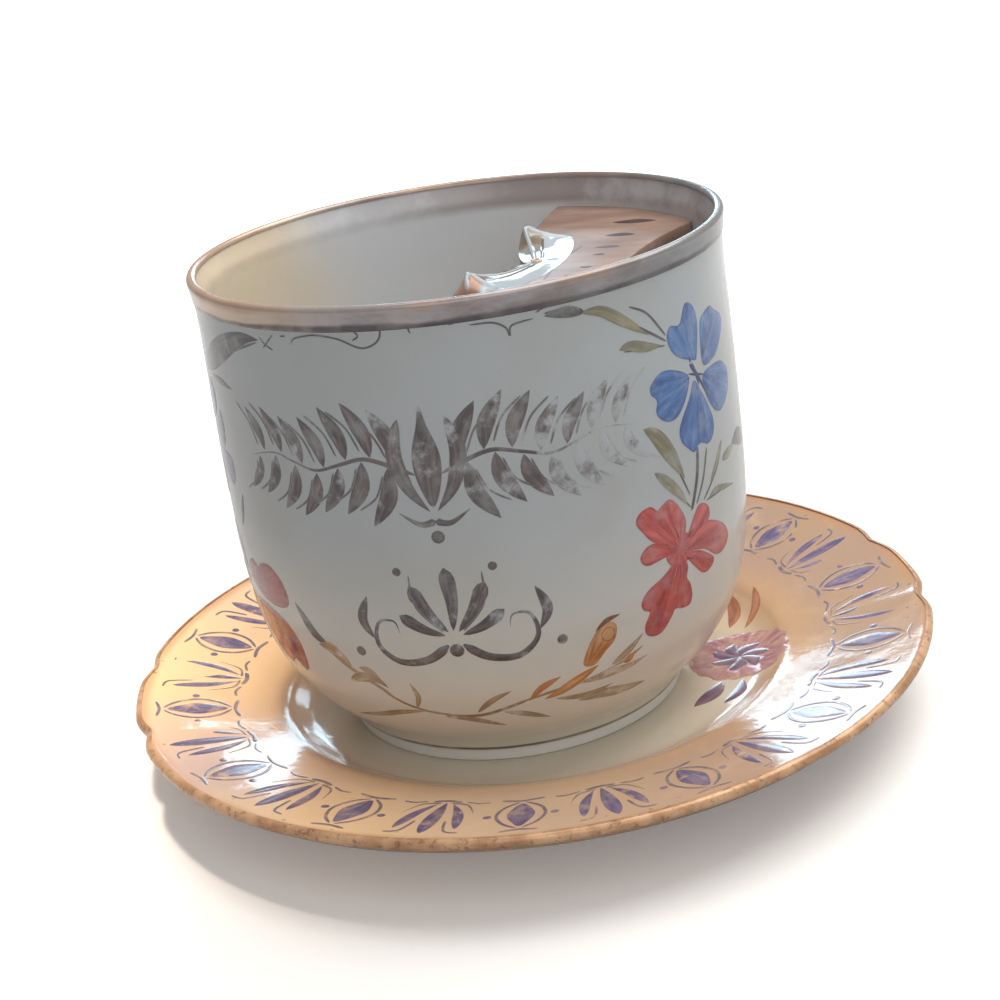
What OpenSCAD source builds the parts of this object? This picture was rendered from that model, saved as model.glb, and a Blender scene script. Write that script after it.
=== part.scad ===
// Mustache cup on its saucer: a glazed porcelain pot with a built-in guard that
// keeps a moustache dry, a loop handle, and a shallow saucer with two small
// bracket lobes. Millimetres, +Z up, origin at the middle of the saucer's foot.
// The guard points along +X, the handle along +Y and the painted front along -Y.

/* [Cup body] */
// Height of the cup from its foot to the lip
cup_height = 84; // [72:1:96]
// Largest outer radius of the cup's side
body_r = 44.8; // [43:0.1:46]
// Radius where the side springs from the foot ring
spring_r = 30.3; // [28:0.1:33]
// Thickness of the side
wall = 2.4; // [1.8:0.1:3]
// Thickness of the cup's floor
floor_t = 3.4; // [2.6:0.1:4.5]

/* [Lip] */
// Outer radius of the flared lip
lip_r = 45.1; // [44.9:0.1:46.5]
// Radius of the lip's rounded edge
lip_round = 0.75; // [0.5:0.05:0.95]
// Height over which the inside flares towards the lip
lip_flare_h = 5; // [3:0.5:5.5]

/* [Cup foot] */
// Height of the cup's foot ring
foot_h = 2.3; // [1.6:0.1:3.5]
// Outer radius of the foot ring where it stands
foot_r = 29.9; // [27.5:0.1:30.2]
// Width of the foot ring
foot_w = 3.2; // [2:0.1:5]

/* [Moustache guard] */
// Depth of the guard's top below the lip
guard_drop = 6; // [5.6:0.1:12]
// Thickness of the guard
guard_t = 2.2; // [1.6:0.1:3]
// Distance from the cup's axis to where the free edge meets the wall
guard_wall_x = 4; // [2:0.5:6]
// Distance from the cup's axis to the wings of the free edge
wing_x = 6; // [5:0.1:8]
// Half the distance between the two wing tips
wing_y = 15; // [13:0.5:17]
// Distance from the cup's axis to the notch between the wings
notch_x = 12.4; // [11:0.1:14.5]
// Distance from the cup's axis to the drink opening
sip_x = 29.9; // [28:0.1:33]
// Radius of the drink opening's inner edge
sip_r = 66; // [50:1:90]

/* [Guard crest] */
// Height of the crest above the guard at its wing tips
crest_h = 2.8; // [2:0.1:3.4]
// Height of the crest above the guard at its notch
crest_low_h = 0.5; // [0.3:0.1:1.5]
// Half the length of the crest
crest_y = 21; // [19:0.5:24]
// Distance from the cup's axis to the crest's back at its middle
crest_back_x = 18.5; // [17:0.1:20]
// Distance from the cup's axis to the crest's back at its ends
crest_end_x = 13; // [12:0.1:14]
// Radius of the ring boss in the notch
boss_r = 1.1; // [0.8:0.1:1.4]
// Radius of the boss's rounded rim
boss_round = 0.45; // [0.3:0.05:0.6]

/* [Handle] */
// Height of the handle's upper end on the side
handle_top_z = 64; // [60:0.5:67]
// Height of the handle's lower end on the side
handle_low_z = 26; // [24:0.5:32]
// Reach of the handle's middle line from the cup's axis
handle_reach = 68.5; // [64:0.5:69.5]
// Width of the handle
handle_w = 8; // [6:0.5:10]
// Thickness of the handle
handle_t = 5; // [4:0.5:6]
// Length of the thumb rest
thumb_l = 7; // [5:0.5:9]
// Width of the thumb rest at its root
thumb_w = 6; // [4:0.5:7]
// Thickness of the thumb rest at its root
thumb_t = 4; // [3:0.5:5]

/* [Saucer] */
// Outer radius of the saucer
saucer_r = 71.9; // [70:0.1:76]
// Height of the saucer's edge above its well
edge_h = 8.7; // [7:0.1:10]
// Radius of the flat well
well_r = 37; // [35:0.5:39]
// Thickness of the saucer
saucer_t = 3; // [2.4:0.1:4]
// Radius of the saucer's rounded edge
edge_round = 1.2; // [0.9:0.1:1.4]
// Depth of the dips beside each bracket lobe
dip_depth = 1.3; // [0.8:0.1:1.8]
// Radius of each dip
dip_r = 12; // [9:0.5:18]

/* [Saucer foot] */
// Height of the saucer's foot ring
saucer_foot_h = 3.2; // [2:0.1:4.5]
// Outer radius of the saucer's foot ring
saucer_foot_r = 38.5; // [36:0.5:41]
// Width of the saucer's foot ring
saucer_foot_w = 3.4; // [2.5:0.1:5]

/* [Gilding] */
// Thickness of the fired gold lustre
gild_t = 0.12; // [0.08:0.01:0.2]
// Depth of the gilt band on the cup's lip
lip_band = 3.8; // [2.5:0.1:4.8]

/* [Place of the cup] */
// Offset of the cup from the saucer's middle, along the guard
cup_x = -2.4; // [-3:0.1:3]
// Offset of the cup from the saucer's middle, along the handle
cup_y = -3.1; // [-3.2:0.1:2]

/* [Hidden] */
$fn = 96;

// Turn of the saucer's bracket lobes, and half the angle between a lobe's dips
bracket_turn = 26.7;
dip_turn = 11;

// The cup's side from its foot ring to the lip: share of the height, share of the swell
side_shares = [
    [0, 0], [0.038, 0.14], [0.082, 0.41], [0.137, 0.632], [0.203, 0.815], [0.280, 0.917],
    [0.368, 0.972], [0.468, 0.996], [0.578, 1], [0.688, 0.998], [0.798, 0.99],
    [0.88, 0.981], [0.941, 0.987]
];
// The saucer's top from its well to the edge: share of the way out, share of the way up
dish_shares = [
    [0, 0], [0.115, 0.06], [0.2, 0.215], [0.26, 0.345], [0.38, 0.46], [0.66, 0.71], [0.95, 0.965]
];
// The handle's middle line: share of its reach beyond the side, share of its height
handle_shares = [
    [-0.08, 1], [0.2, 1.07], [0.6, 1.12], [0.93, 0.93], [1, 0.62], [0.82, 0.32], [0.45, 0.11],
    [0.12, 0.01], [-0.1, -0.02]
];
// The handle's thickness along it, as shares of its size at the middle
handle_size_shares = [1.25, 0.98, 0.95, 1, 1, 0.95, 0.88, 0.95, 1.15];
// The thumb rest's middle line and its thickness, as shares of its length and root
thumb_shares = [[0, -0.35], [0, 0.2], [0.12, 0.62], [0.42, 0.9]];
thumb_size_shares = [1, 0.94, 0.75, 0.4];
// Where the thumb rest stands along the handle, as a share of the handle's points
thumb_place_share = 0.2;

// How far up the side the inside follows it, as a share of its height
inside_follow_share = 0.58;
// The saucer's underside: its step out from the top, and its thinning towards the edge
under_step_share = 0.35;
under_thin_share = 0.15;

well_z = saucer_foot_h + saucer_t;
bore_r = body_r - wall;
guard_z = cup_height - guard_drop;
lip_z = cup_height - lip_round;
side_h = cup_height - foot_h;
curve_steps = 4;
overrun = wall / 2;

// A smooth curve through a list of points
function blend_at(a, b, c, d, t) =
    b + (c - a) * t / 2 + (2 * a - 5 * b + 4 * c - d) * t * t / 2
    + (3 * b - a - 3 * c + d) * t * t * t / 2;
function curve(p, steps) = [
    for (i = [0 : len(p) - 2], k = [0 : steps - 1])
        blend_at(p[max(i - 1, 0)], p[i], p[i + 1], p[min(i + 2, len(p) - 1)], k / steps),
    p[len(p) - 1]
];
function reversed(p) = [for (i = [len(p) - 1 : -1 : 0]) p[i]];
function arc(middle, r, from, to, steps) = [
    for (i = [0 : steps]) let (a = from + (to - from) * i / steps)
        middle + r * [cos(a), sin(a)]
];

function side_point(share) = [
    spring_r + (body_r - spring_r) * share[1],
    foot_h + side_h * share[0]
];
side_points = [for (share = side_shares) side_point(share)];
side_curve = curve(concat(side_points, [[lip_r, lip_z]]), curve_steps);

// The inside follows the side, raised at the bottom by the floor's thickness
inside_curve = [
    for (p = side_curve) if (p[1] < foot_h + side_h * inside_follow_share)
        [p[0] - wall, p[1] + floor_t * (1 - (p[1] - foot_h) / side_h)]
];
lip_middle = [lip_r - lip_round, lip_z];
flare_foot = [bore_r, cup_height - lip_flare_h];

function lip_edge(grow) = arc(lip_middle, lip_round + grow, 0, 180, 12);

cup_outline = concat(
    [[0, foot_h]],
    side_curve,
    lip_edge(0),
    [flare_foot],
    reversed(inside_curve),
    [[0, foot_h + floor_t]]
);

module cup_place() {
    translate([cup_x, cup_y, well_z])
        children();
}

// Everything inside the cup's outer surface, for cutting what is joined to it
module cup_solid() {
    rotate_extrude()
        polygon(concat([[0, foot_h]], side_curve, [[0, lip_z]]));
}

module cup_body() {
    color([0.88, 0.89, 0.87])
        cup_place()
            rotate_extrude()
                polygon(cup_outline);
}

module cup_foot_ring() {
    foot_round = foot_w / 6;
    color([0.88, 0.89, 0.87])
        cup_place()
            rotate_extrude()
                polygon([
                    [foot_r - foot_w + foot_round, 0],
                    [foot_r - foot_round, 0],
                    [foot_r, foot_round],
                    [foot_r, foot_h],
                    [foot_r - foot_w, foot_h],
                    [foot_r - foot_w, foot_round]
                ]);
}

// The gilt band wraps over the lip, from low on the outside to just inside
module cup_rim_gilding() {
    band = [for (p = side_curve) if (p[1] > cup_height - lip_band) p];
    band_out = [for (p = band) p + [gild_t, 0]];
    color([0.72, 0.56, 0.4])
        cup_place()
            rotate_extrude()
                polygon(concat(
                    band_out,
                    lip_edge(gild_t),
                    reversed(lip_edge(0)),
                    reversed(band)
                ));
}

// The guard's free edge: a low wave with two wings and a notch between them
function wave(t) = t * t * (3 - 2 * t);
function edge_x(y) =
    let (a = abs(y))
    a < wing_y
        ? notch_x - (notch_x - wing_x) * pow(a / wing_y, 0.62)
        : wing_x + (guard_wall_x - wing_x) * wave(min(1, (a - wing_y) / (bore_r - wing_y)));
edge_steps = 48;

module guard_plan() {
    step_y = 2 * bore_r / edge_steps;
    difference() {
        intersection() {
            circle(r = bore_r);
            polygon(concat(
                [for (i = [0 : edge_steps]) let (y = i * step_y - bore_r) [edge_x(y), y]],
                [[bore_r, bore_r], [bore_r, -bore_r]]
            ));
        }
        intersection() {
            translate([sip_x + sip_r, 0])
                circle(r = sip_r);
            circle(r = bore_r + overrun);
        }
    }
}

module moustache_guard() {
    color([0.76, 0.66, 0.58])
        cup_place()
            translate([0, 0, guard_z - guard_t])
                linear_extrude(guard_t)
                    guard_plan();
}

// The crest rises in a hollow sweep from its back to a ridge near the free edge
crest_rows = 40;
crest_cols = 8;
function crest_back(y) = crest_back_x + (crest_end_x - crest_back_x) * pow(y / crest_y, 2);
function crest_top(y) =
    let (a = abs(y))
    a < wing_y
        ? crest_low_h + (crest_h - crest_low_h) * pow(a / wing_y, 2.6)
        : crest_h * sqrt(max(0, 1 - pow((a - wing_y) / (crest_y - wing_y), 2)) * 0.9 + 0.1);
crest_ridge_share = 0.2;
function crest_sweep(s) =
    s < crest_ridge_share
        ? 0.4 + 0.6 * wave(s / crest_ridge_share)
        : 0.06 + 0.94 * pow((1 - s) / (1 - crest_ridge_share), 1.8);
crest_s_shares = [0, 0.07, 0.14, 0.2, 0.32, 0.48, 0.66, 0.84, 1];
function crest_point(y, s) = [
    edge_x(y) + (crest_back(y) - edge_x(y)) * s, y, guard_z + crest_top(y) * crest_sweep(s)
];

module crest_shell() {
    n = crest_cols + 1;
    ys = [for (i = [0 : crest_rows]) crest_y * (2 * i / crest_rows - 1)];
    top = [for (y = ys, s = crest_s_shares) crest_point(y, s)];
    low = [for (p = top) [p[0], p[1], guard_z]];
    k = len(top);
    rows = len(ys);
    polyhedron(
        points = concat(top, low),
        faces = concat(
            [for (i = [0 : rows - 2], j = [0 : n - 2])
                [i * n + j, (i + 1) * n + j, (i + 1) * n + j + 1, i * n + j + 1]],
            [for (i = [0 : rows - 2], j = [0 : n - 2])
                [k + i * n + j, k + i * n + j + 1, k + (i + 1) * n + j + 1, k + (i + 1) * n + j]],
            [for (i = [0 : rows - 2]) [i * n, k + i * n, k + (i + 1) * n, (i + 1) * n]],
            [for (i = [0 : rows - 2])
                [i * n + n - 1, (i + 1) * n + n - 1, k + (i + 1) * n + n - 1, k + i * n + n - 1]],
            [for (j = [0 : n - 2]) [j, j + 1, k + j + 1, k + j]],
            [for (j = [0 : n - 2])
                let (a = (rows - 1) * n) [a + j, k + a + j, k + a + j + 1, a + j + 1]]
        )
    );
}

module guard_crest() {
    color([0.9, 0.87, 0.82])
        cup_place() {
            crest_shell();
            // The ring boss rests flat on the guard's top
            translate([notch_x + boss_r + boss_round, 0, guard_z])
                rotate_extrude($fn = 32)
                    intersection() {
                        translate([boss_r, crest_low_h / 2])
                            circle(r = boss_round, $fn = 16);
                        translate([boss_r - boss_round, 0])
                            square([2 * boss_round, 2 * boss_round + crest_low_h]);
                    }
        }
}

// A tube of oval section along a curve in the plane of the handle
sweep_sides = 16;
function turned(v) = [-v[1], v[0]];
function unit(v) = v / norm(v);
function heading(p, i) = unit(p[min(i + 1, len(p) - 1)] - p[max(i - 1, 0)]);

module sweep(path, sizes, width, thickness) {
    rings = len(path);
    points = [
        for (i = [0 : rings - 1], j = [0 : sweep_sides - 1])
            let (
                a = 360 * j / sweep_sides,
                q = path[i] + turned(heading(path, i)) * sin(a) * sizes[i] * thickness / 2
            )
            [cos(a) * sizes[i] * width / 2, q[0], q[1]]
    ];
    polyhedron(
        points = points,
        faces = concat(
            [for (i = [0 : rings - 2], j = [0 : sweep_sides - 1])
                let (k = (j + 1) % sweep_sides)
                [i * sweep_sides + j, (i + 1) * sweep_sides + j,
                 (i + 1) * sweep_sides + k, i * sweep_sides + k]],
            [[for (j = [0 : sweep_sides - 1]) j]],
            [[for (j = [sweep_sides - 1 : -1 : 0]) (rings - 1) * sweep_sides + j]]
        )
    );
}

handle_steps = 5;
handle_path = curve([
    for (share = handle_shares)
        [body_r + (handle_reach - body_r) * share[0],
         handle_low_z + (handle_top_z - handle_low_z) * share[1]]
], handle_steps);
handle_sizes = curve(handle_size_shares, handle_steps);

module handle_sweep() {
    sweep(handle_path, handle_sizes, handle_w, handle_t);
}

module handle() {
    color([0.88, 0.89, 0.87])
        cup_place()
            difference() {
                handle_sweep();
                cup_solid();
            }
}

// The thumb rest's root is sunk into the handle, as clay is luted on
module thumb_rest() {
    root = handle_path[floor(len(handle_path) * thumb_place_share)];
    path = curve([
        for (share = thumb_shares)
            root + [thumb_l * share[0], handle_t / 2 + thumb_l * share[1]]
    ], handle_steps);
    color([0.88, 0.89, 0.87])
        cup_place()
            sweep(path, curve(thumb_size_shares, handle_steps), thumb_w, thumb_t);
}

// The saucer's top runs from the flat well over a shoulder to the wide rim
dish_curve = curve([
    for (share = dish_shares)
        [well_r + (saucer_r - well_r) * share[0], well_z + (edge_h - edge_round / 8) * share[1]]
], curve_steps);
edge_middle = [saucer_r - edge_round, well_z + edge_h - edge_round];
function out_share(r) = (r - well_r) / (saucer_r - well_r);
under_curve = [
    for (p = dish_curve) if (p[0] < saucer_r - 3 * edge_round)
        [p[0] + saucer_t * under_step_share,
         p[1] - saucer_t * (1 - under_thin_share * out_share(p[0]))]
];

function saucer_edge(grow) = arc(edge_middle, edge_round + grow, 75, -80, 12);

module dips() {
    for (side = [0, 180], dip = [-dip_turn, dip_turn])
        rotate([0, 0, bracket_turn + side + dip])
            translate([saucer_r + dip_r - dip_depth, 0, 0])
                cylinder(r = dip_r, h = well_z + 2 * edge_h);
}

module saucer() {
    color([0.87, 0.71, 0.54])
        difference() {
            rotate_extrude()
                polygon(concat(
                    [[0, well_z]],
                    dish_curve,
                    saucer_edge(0),
                    reversed(under_curve),
                    [[0, well_z - saucer_t]]
                ));
            dips();
        }
}

module saucer_foot_ring() {
    ring_round = saucer_foot_w / 6;
    color([0.87, 0.71, 0.54])
        rotate_extrude()
            polygon([
                [saucer_foot_r - saucer_foot_w + ring_round, 0],
                [saucer_foot_r - ring_round, 0],
                [saucer_foot_r, ring_round],
                [saucer_foot_r, saucer_foot_h],
                [saucer_foot_r - saucer_foot_w, saucer_foot_h],
                [saucer_foot_r - saucer_foot_w, ring_round]
            ]);
}

module saucer_rim_gilding() {
    color([0.62, 0.45, 0.3])
        difference() {
            rotate_extrude()
                polygon(concat(saucer_edge(gild_t), reversed(saucer_edge(0))));
            dips();
        }
}

cup_body();
cup_foot_ring();
cup_rim_gilding();
moustache_guard();
guard_crest();
handle();
thumb_rest();
saucer();
saucer_foot_ring();
saucer_rim_gilding();
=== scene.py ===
# The looks of a mustache cup on its saucer: glazed porcelain with a moulded guard,
# gold lustre on the lip and the saucer's edge, and hand-painted flowers, leaves and borders.
# Metres, in the row frame. Outlines are in millimetres and degrees, as they were measured.
import math
import random

import bpy
import numpy as np
from mathutils import Matrix, Vector
from mathutils.geometry import delaunay_2d_cdt


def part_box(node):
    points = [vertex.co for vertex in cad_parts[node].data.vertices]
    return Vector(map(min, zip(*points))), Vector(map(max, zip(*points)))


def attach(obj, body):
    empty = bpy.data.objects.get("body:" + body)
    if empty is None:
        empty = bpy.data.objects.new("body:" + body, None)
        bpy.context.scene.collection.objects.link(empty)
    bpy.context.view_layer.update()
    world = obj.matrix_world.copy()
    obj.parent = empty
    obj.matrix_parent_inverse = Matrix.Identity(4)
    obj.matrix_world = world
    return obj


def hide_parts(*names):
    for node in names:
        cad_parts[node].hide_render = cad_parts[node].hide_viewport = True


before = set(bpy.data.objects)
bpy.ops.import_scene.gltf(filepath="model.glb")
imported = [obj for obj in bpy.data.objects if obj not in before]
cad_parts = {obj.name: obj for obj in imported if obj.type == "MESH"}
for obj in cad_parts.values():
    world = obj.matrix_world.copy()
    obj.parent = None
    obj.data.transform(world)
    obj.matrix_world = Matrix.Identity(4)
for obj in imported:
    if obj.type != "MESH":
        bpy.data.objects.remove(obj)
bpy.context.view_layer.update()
MM = 0.001
TURN = 2 * math.pi


# Sizes read from the frame, in millimetres
def node_box(node):
    low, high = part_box(node)
    return low / MM, high / MM


BODY_LOW, BODY_HIGH = node_box("cup_body")
FOOT_LOW, FOOT_HIGH = node_box("cup_foot_ring")
GUARD_LOW, GUARD_HIGH = node_box("moustache_guard")
RING_HIGH = node_box("saucer_foot_ring")[1]
CUP_X = (FOOT_LOW.x + FOOT_HIGH.x) / 2
CUP_Y = (FOOT_LOW.y + FOOT_HIGH.y) / 2
CUP_Z = FOOT_LOW.z
CUP = (CUP_X, CUP_Y, CUP_Z)
CUP_H = BODY_HIGH.z - CUP_Z
FOOT_H = FOOT_HIGH.z - CUP_Z
FOOT_R = (FOOT_HIGH.x - FOOT_LOW.x) / 2
LIP_R = (BODY_HIGH.x - BODY_LOW.x) / 2
GUARD_T = GUARD_HIGH.z - GUARD_LOW.z
GUARD_TOP = GUARD_HIGH.z
RING_R = RING_HIGH.x
RING_H = RING_HIGH.z

# Sizes of the cup and saucer that the frame's boxes don't give
BODY_R = 44.8
SPRING_R = 30.3
WALL = 2.4
FLOOR_T = 3.4
FLOOR_FILLET = 4.5
BORE_R = BODY_R - WALL
LIP_ROUND = 0.75
LIP_FLARE_H = 5
GILD_T = 0.11
GILD_SUNK = 0.06
GILD_H = 3.8
FOOT_W = 3.2
WELL_R = 37
DISH_T = 3
DISH_R = 71.9
EDGE_H = 8.7
EDGE_ROUND = 0.85
DISH_FOOT_W = 3.4
LOBE_TURN = 26.7
DIP_TURN = 11
DIP_DEPTH = 1.3
DIP_W = 5.2
DIP_START_R = 52
DIP_REACH = 18

# Facets round the cup and round the saucer
CUP_SIDES = 224
DISH_SIDES = 288

# How near the axis a point counts as on it, and the least number that a length is divided by
ON_AXIS = 1e-6
TINY = 1e-12

# The camera, found by fitting the ellipses of the lip, foot and saucer in the photo
CAMERA_PLACE = (113.8, -285.9, 156.1)
CAMERA_TURN = 21.7
CAMERA_YAW = 0.72
CAMERA_PITCH = 19.76
CAMERA_ROLL = -7.774
CAMERA_LENS = 66.46
CAMERA_SHIFT = (-0.03, -0.03)

# The way across the cup and saucer from the side painted lit to the side painted in shade, in degrees from +X
PAINTED_SHADE_TURN = 21.7


# Curves and small sums
def curve(points, steps):
    """A smooth curve through the points, as an array."""
    p = [np.array(q, float) for q in points]
    out = []
    for i in range(len(p) - 1):
        a, b, c, d = p[max(i - 1, 0)], p[i], p[i + 1], p[min(i + 2, len(p) - 1)]
        for k in range(steps):
            t = k / steps
            out.append(b + (c - a) * t / 2 + (2 * a - 5 * b + 4 * c - d) * t * t / 2
                       + (3 * b - a - 3 * c + d) * t ** 3 / 2)
    out.append(p[-1])
    return np.array(out)


def loop(points, steps):
    """A smooth closed curve through the points."""
    p = list(points)
    full = curve([p[-1]] + p + [p[0], p[1]], steps)
    return full[steps:-steps - 1]


def arc(middle, r, start, end, steps):
    turns = np.radians(np.linspace(start, end, steps + 1))
    return np.stack([middle[0] + r * np.cos(turns), middle[1] + r * np.sin(turns)], -1)


def smooth_step(t):
    t = np.clip(t, 0, 1)
    return t * t * (3 - 2 * t)


# Meshes
def add_object(name, data):
    thing = bpy.data.objects.new(name, data)
    bpy.context.scene.collection.objects.link(thing)
    return thing


def new_piece(name, verts, faces, body, material, sharp_angle=40):
    """A mesh object from points in millimetres, riding on a body."""
    mesh = bpy.data.meshes.new(name)
    mesh.from_pydata([Vector(v) * MM for v in verts], [], faces)
    mesh.validate()
    mesh.update()
    mesh.shade_smooth()
    if sharp_angle:
        mesh.set_sharp_from_angle(angle=math.radians(sharp_angle))
    mesh.materials.append(material)
    piece = add_object(name, mesh)
    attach(piece, body)
    return piece


def hold(piece, key, values):
    """Keeps a number for each point of a piece, for its material to read."""
    held = piece.data.attributes.new(key, "FLOAT", "POINT")
    held.data.foreach_set("value", np.array(values, np.float32))


def grid_faces(rows, columns, closed=False):
    """Faces between the rows of a grid of points. A closed grid joins its last column to its first."""
    faces = []
    for i in range(rows - 1):
        for j in range(columns if closed else columns - 1):
            m = (j + 1) % columns
            faces.append([i * columns + j, i * columns + m, (i + 1) * columns + m, (i + 1) * columns + j])
    return faces


def revolve(outline, sides, place, shape=None):
    """Points and faces of an outline (r, z) turned about Z: a loop, or a line from the axis back to
    it, whose ends meet in a point each. shape(turn, r, z) gives the radius and height at an angle."""
    verts = []
    rows = []
    for r, z in outline:
        if r < ON_AXIS:
            rows.append([len(verts)] * sides)
            verts.append((place[0], place[1], place[2] + z))
            continue
        row = []
        for k in range(sides):
            turn = TURN * k / sides
            q, h = shape(turn, r, z) if shape else (r, z)
            row.append(len(verts))
            verts.append((place[0] + q * math.cos(turn), place[1] + q * math.sin(turn), place[2] + h))
        rows.append(row)
    faces = []
    count = len(rows)
    closed = outline[0][0] > ON_AXIS
    for i in range(count if closed else count - 1):
        low = rows[i]
        high = rows[(i + 1) % count]
        for k in range(sides):
            m = (k + 1) % sides
            face = list(dict.fromkeys([low[k], low[m], high[m], high[k]]))
            if len(face) > 2:
                faces.append(face)
    return verts, faces


def sweep(path, across, along, sizes, sides, place):
    """A closed tube of oval section along a path in the plane of Y and Z."""
    verts = []
    count = len(path)
    for i, p in enumerate(path):
        ahead = path[min(i + 1, count - 1)] - path[max(i - 1, 0)]
        ahead = ahead / np.linalg.norm(ahead)
        for k in range(sides):
            turn = TURN * k / sides
            up = math.sin(turn) * sizes[i] * along / 2
            verts.append((place[0] + math.cos(turn) * sizes[i] * across / 2,
                          place[1] + p[0] - ahead[1] * up, place[2] + p[1] + ahead[0] * up))
    faces = [[a, d, c, b] for a, b, c, d in grid_faces(count, sides, closed=True)]
    faces.append(list(range(sides)))
    faces.append([(count - 1) * sides + k for k in reversed(range(sides))])
    return verts, faces


# Outlines of the cup and the saucer
SIDE_SHARES = [
    (0, 0), (0.038, 0.14), (0.082, 0.41), (0.137, 0.632), (0.203, 0.815), (0.280, 0.917),
    (0.368, 0.972), (0.468, 0.996), (0.578, 1), (0.688, 0.998), (0.798, 0.99),
    (0.88, 0.981), (0.941, 0.987)]
DISH_SHARES = [
    (0, 0), (0.115, 0.06), (0.2, 0.215), (0.26, 0.345), (0.38, 0.46), (0.66, 0.71), (0.95, 0.965)]
LIP_Z = CUP_H - LIP_ROUND
SIDE_H = CUP_H - FOOT_H
SIDE = curve([(SPRING_R + (BODY_R - SPRING_R) * swell, FOOT_H + SIDE_H * up)
              for up, swell in SIDE_SHARES] + [(LIP_R, LIP_Z)], 8)
DISH = curve([(WELL_R + (DISH_R - WELL_R) * out, (EDGE_H - EDGE_ROUND / 8) * up)
              for out, up in DISH_SHARES], 8)


def side_r(z):
    return np.interp(z, SIDE[:, 1], SIDE[:, 0])


def dish_z(r):
    return np.interp(r, DISH[:, 0], DISH[:, 1], left=0)


# Surfaces that the painting lies on: each takes flat places in mm and a lift, and gives points
SLOPE_STEP = 0.2


def on_cup(places, lift):
    """Places are (distance round the side at radius BODY_R, height)."""
    turn = places[:, 0] / BODY_R
    z = places[:, 1]
    slope = (side_r(z + SLOPE_STEP) - side_r(z - SLOPE_STEP)) / (2 * SLOPE_STEP)
    scale = 1 / np.sqrt(1 + slope ** 2)
    r = side_r(z) + lift * scale
    return np.stack([CUP_X + r * np.cos(turn), CUP_Y + r * np.sin(turn),
                     CUP_Z + z - lift * slope * scale], -1)


def on_dish(places, lift):
    r = np.hypot(places[:, 0], places[:, 1])
    slope = (dish_z(r + SLOPE_STEP) - dish_z(r - SLOPE_STEP)) / (2 * SLOPE_STEP)
    scale = 1 / np.sqrt(1 + slope ** 2)
    q = (r - lift * slope * scale) / np.maximum(r, ON_AXIS)
    return np.stack([places[:, 0] * q, places[:, 1] * q, CUP_Z + dish_z(r) + lift * scale], -1)


def on_guard(places, lift):
    return np.stack([CUP_X + places[:, 0], CUP_Y + places[:, 1],
                     GUARD_TOP + lift + 0 * places[:, 0]], -1)


def borders(faces):
    """The edges that only one face has, each as that face runs along it."""
    seen = dict.fromkeys((a, b) for f in faces for a, b in zip(f, f[1:] + f[:1]))
    return [(a, b) for a, b in seen if (b, a) not in seen]


def lies_inside(points, rim):
    """Which points lie inside a closed outline."""
    x, y = points[:, :1], points[:, 1:]
    x0, y0 = rim.T
    x1, y1 = np.roll(x0, -1), np.roll(y0, -1)
    at = x0 + (y - y0) * (x1 - x0) / np.where(y1 == y0, TINY, y1 - y0)
    return (((y0 > y) != (y1 > y)) & (x < at)).sum(1) % 2 == 1


def depth(points, rim):
    """How far each point lies from a closed outline."""
    side = np.roll(rim, -1, 0) - rim
    away = points[:, None] - rim
    t = np.clip((away * side).sum(-1) / np.maximum((side ** 2).sum(-1), TINY), 0, 1)
    return np.sqrt(((away - side * t[..., None]) ** 2).sum(-1).min(1))


def oval(middle, across, up):
    """Eight points round an oval."""
    turns = [TURN * k / 8 for k in range(8)]
    return [(middle[0] + across * math.cos(turn), middle[1] + up * math.sin(turn)) for turn in turns]


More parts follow.
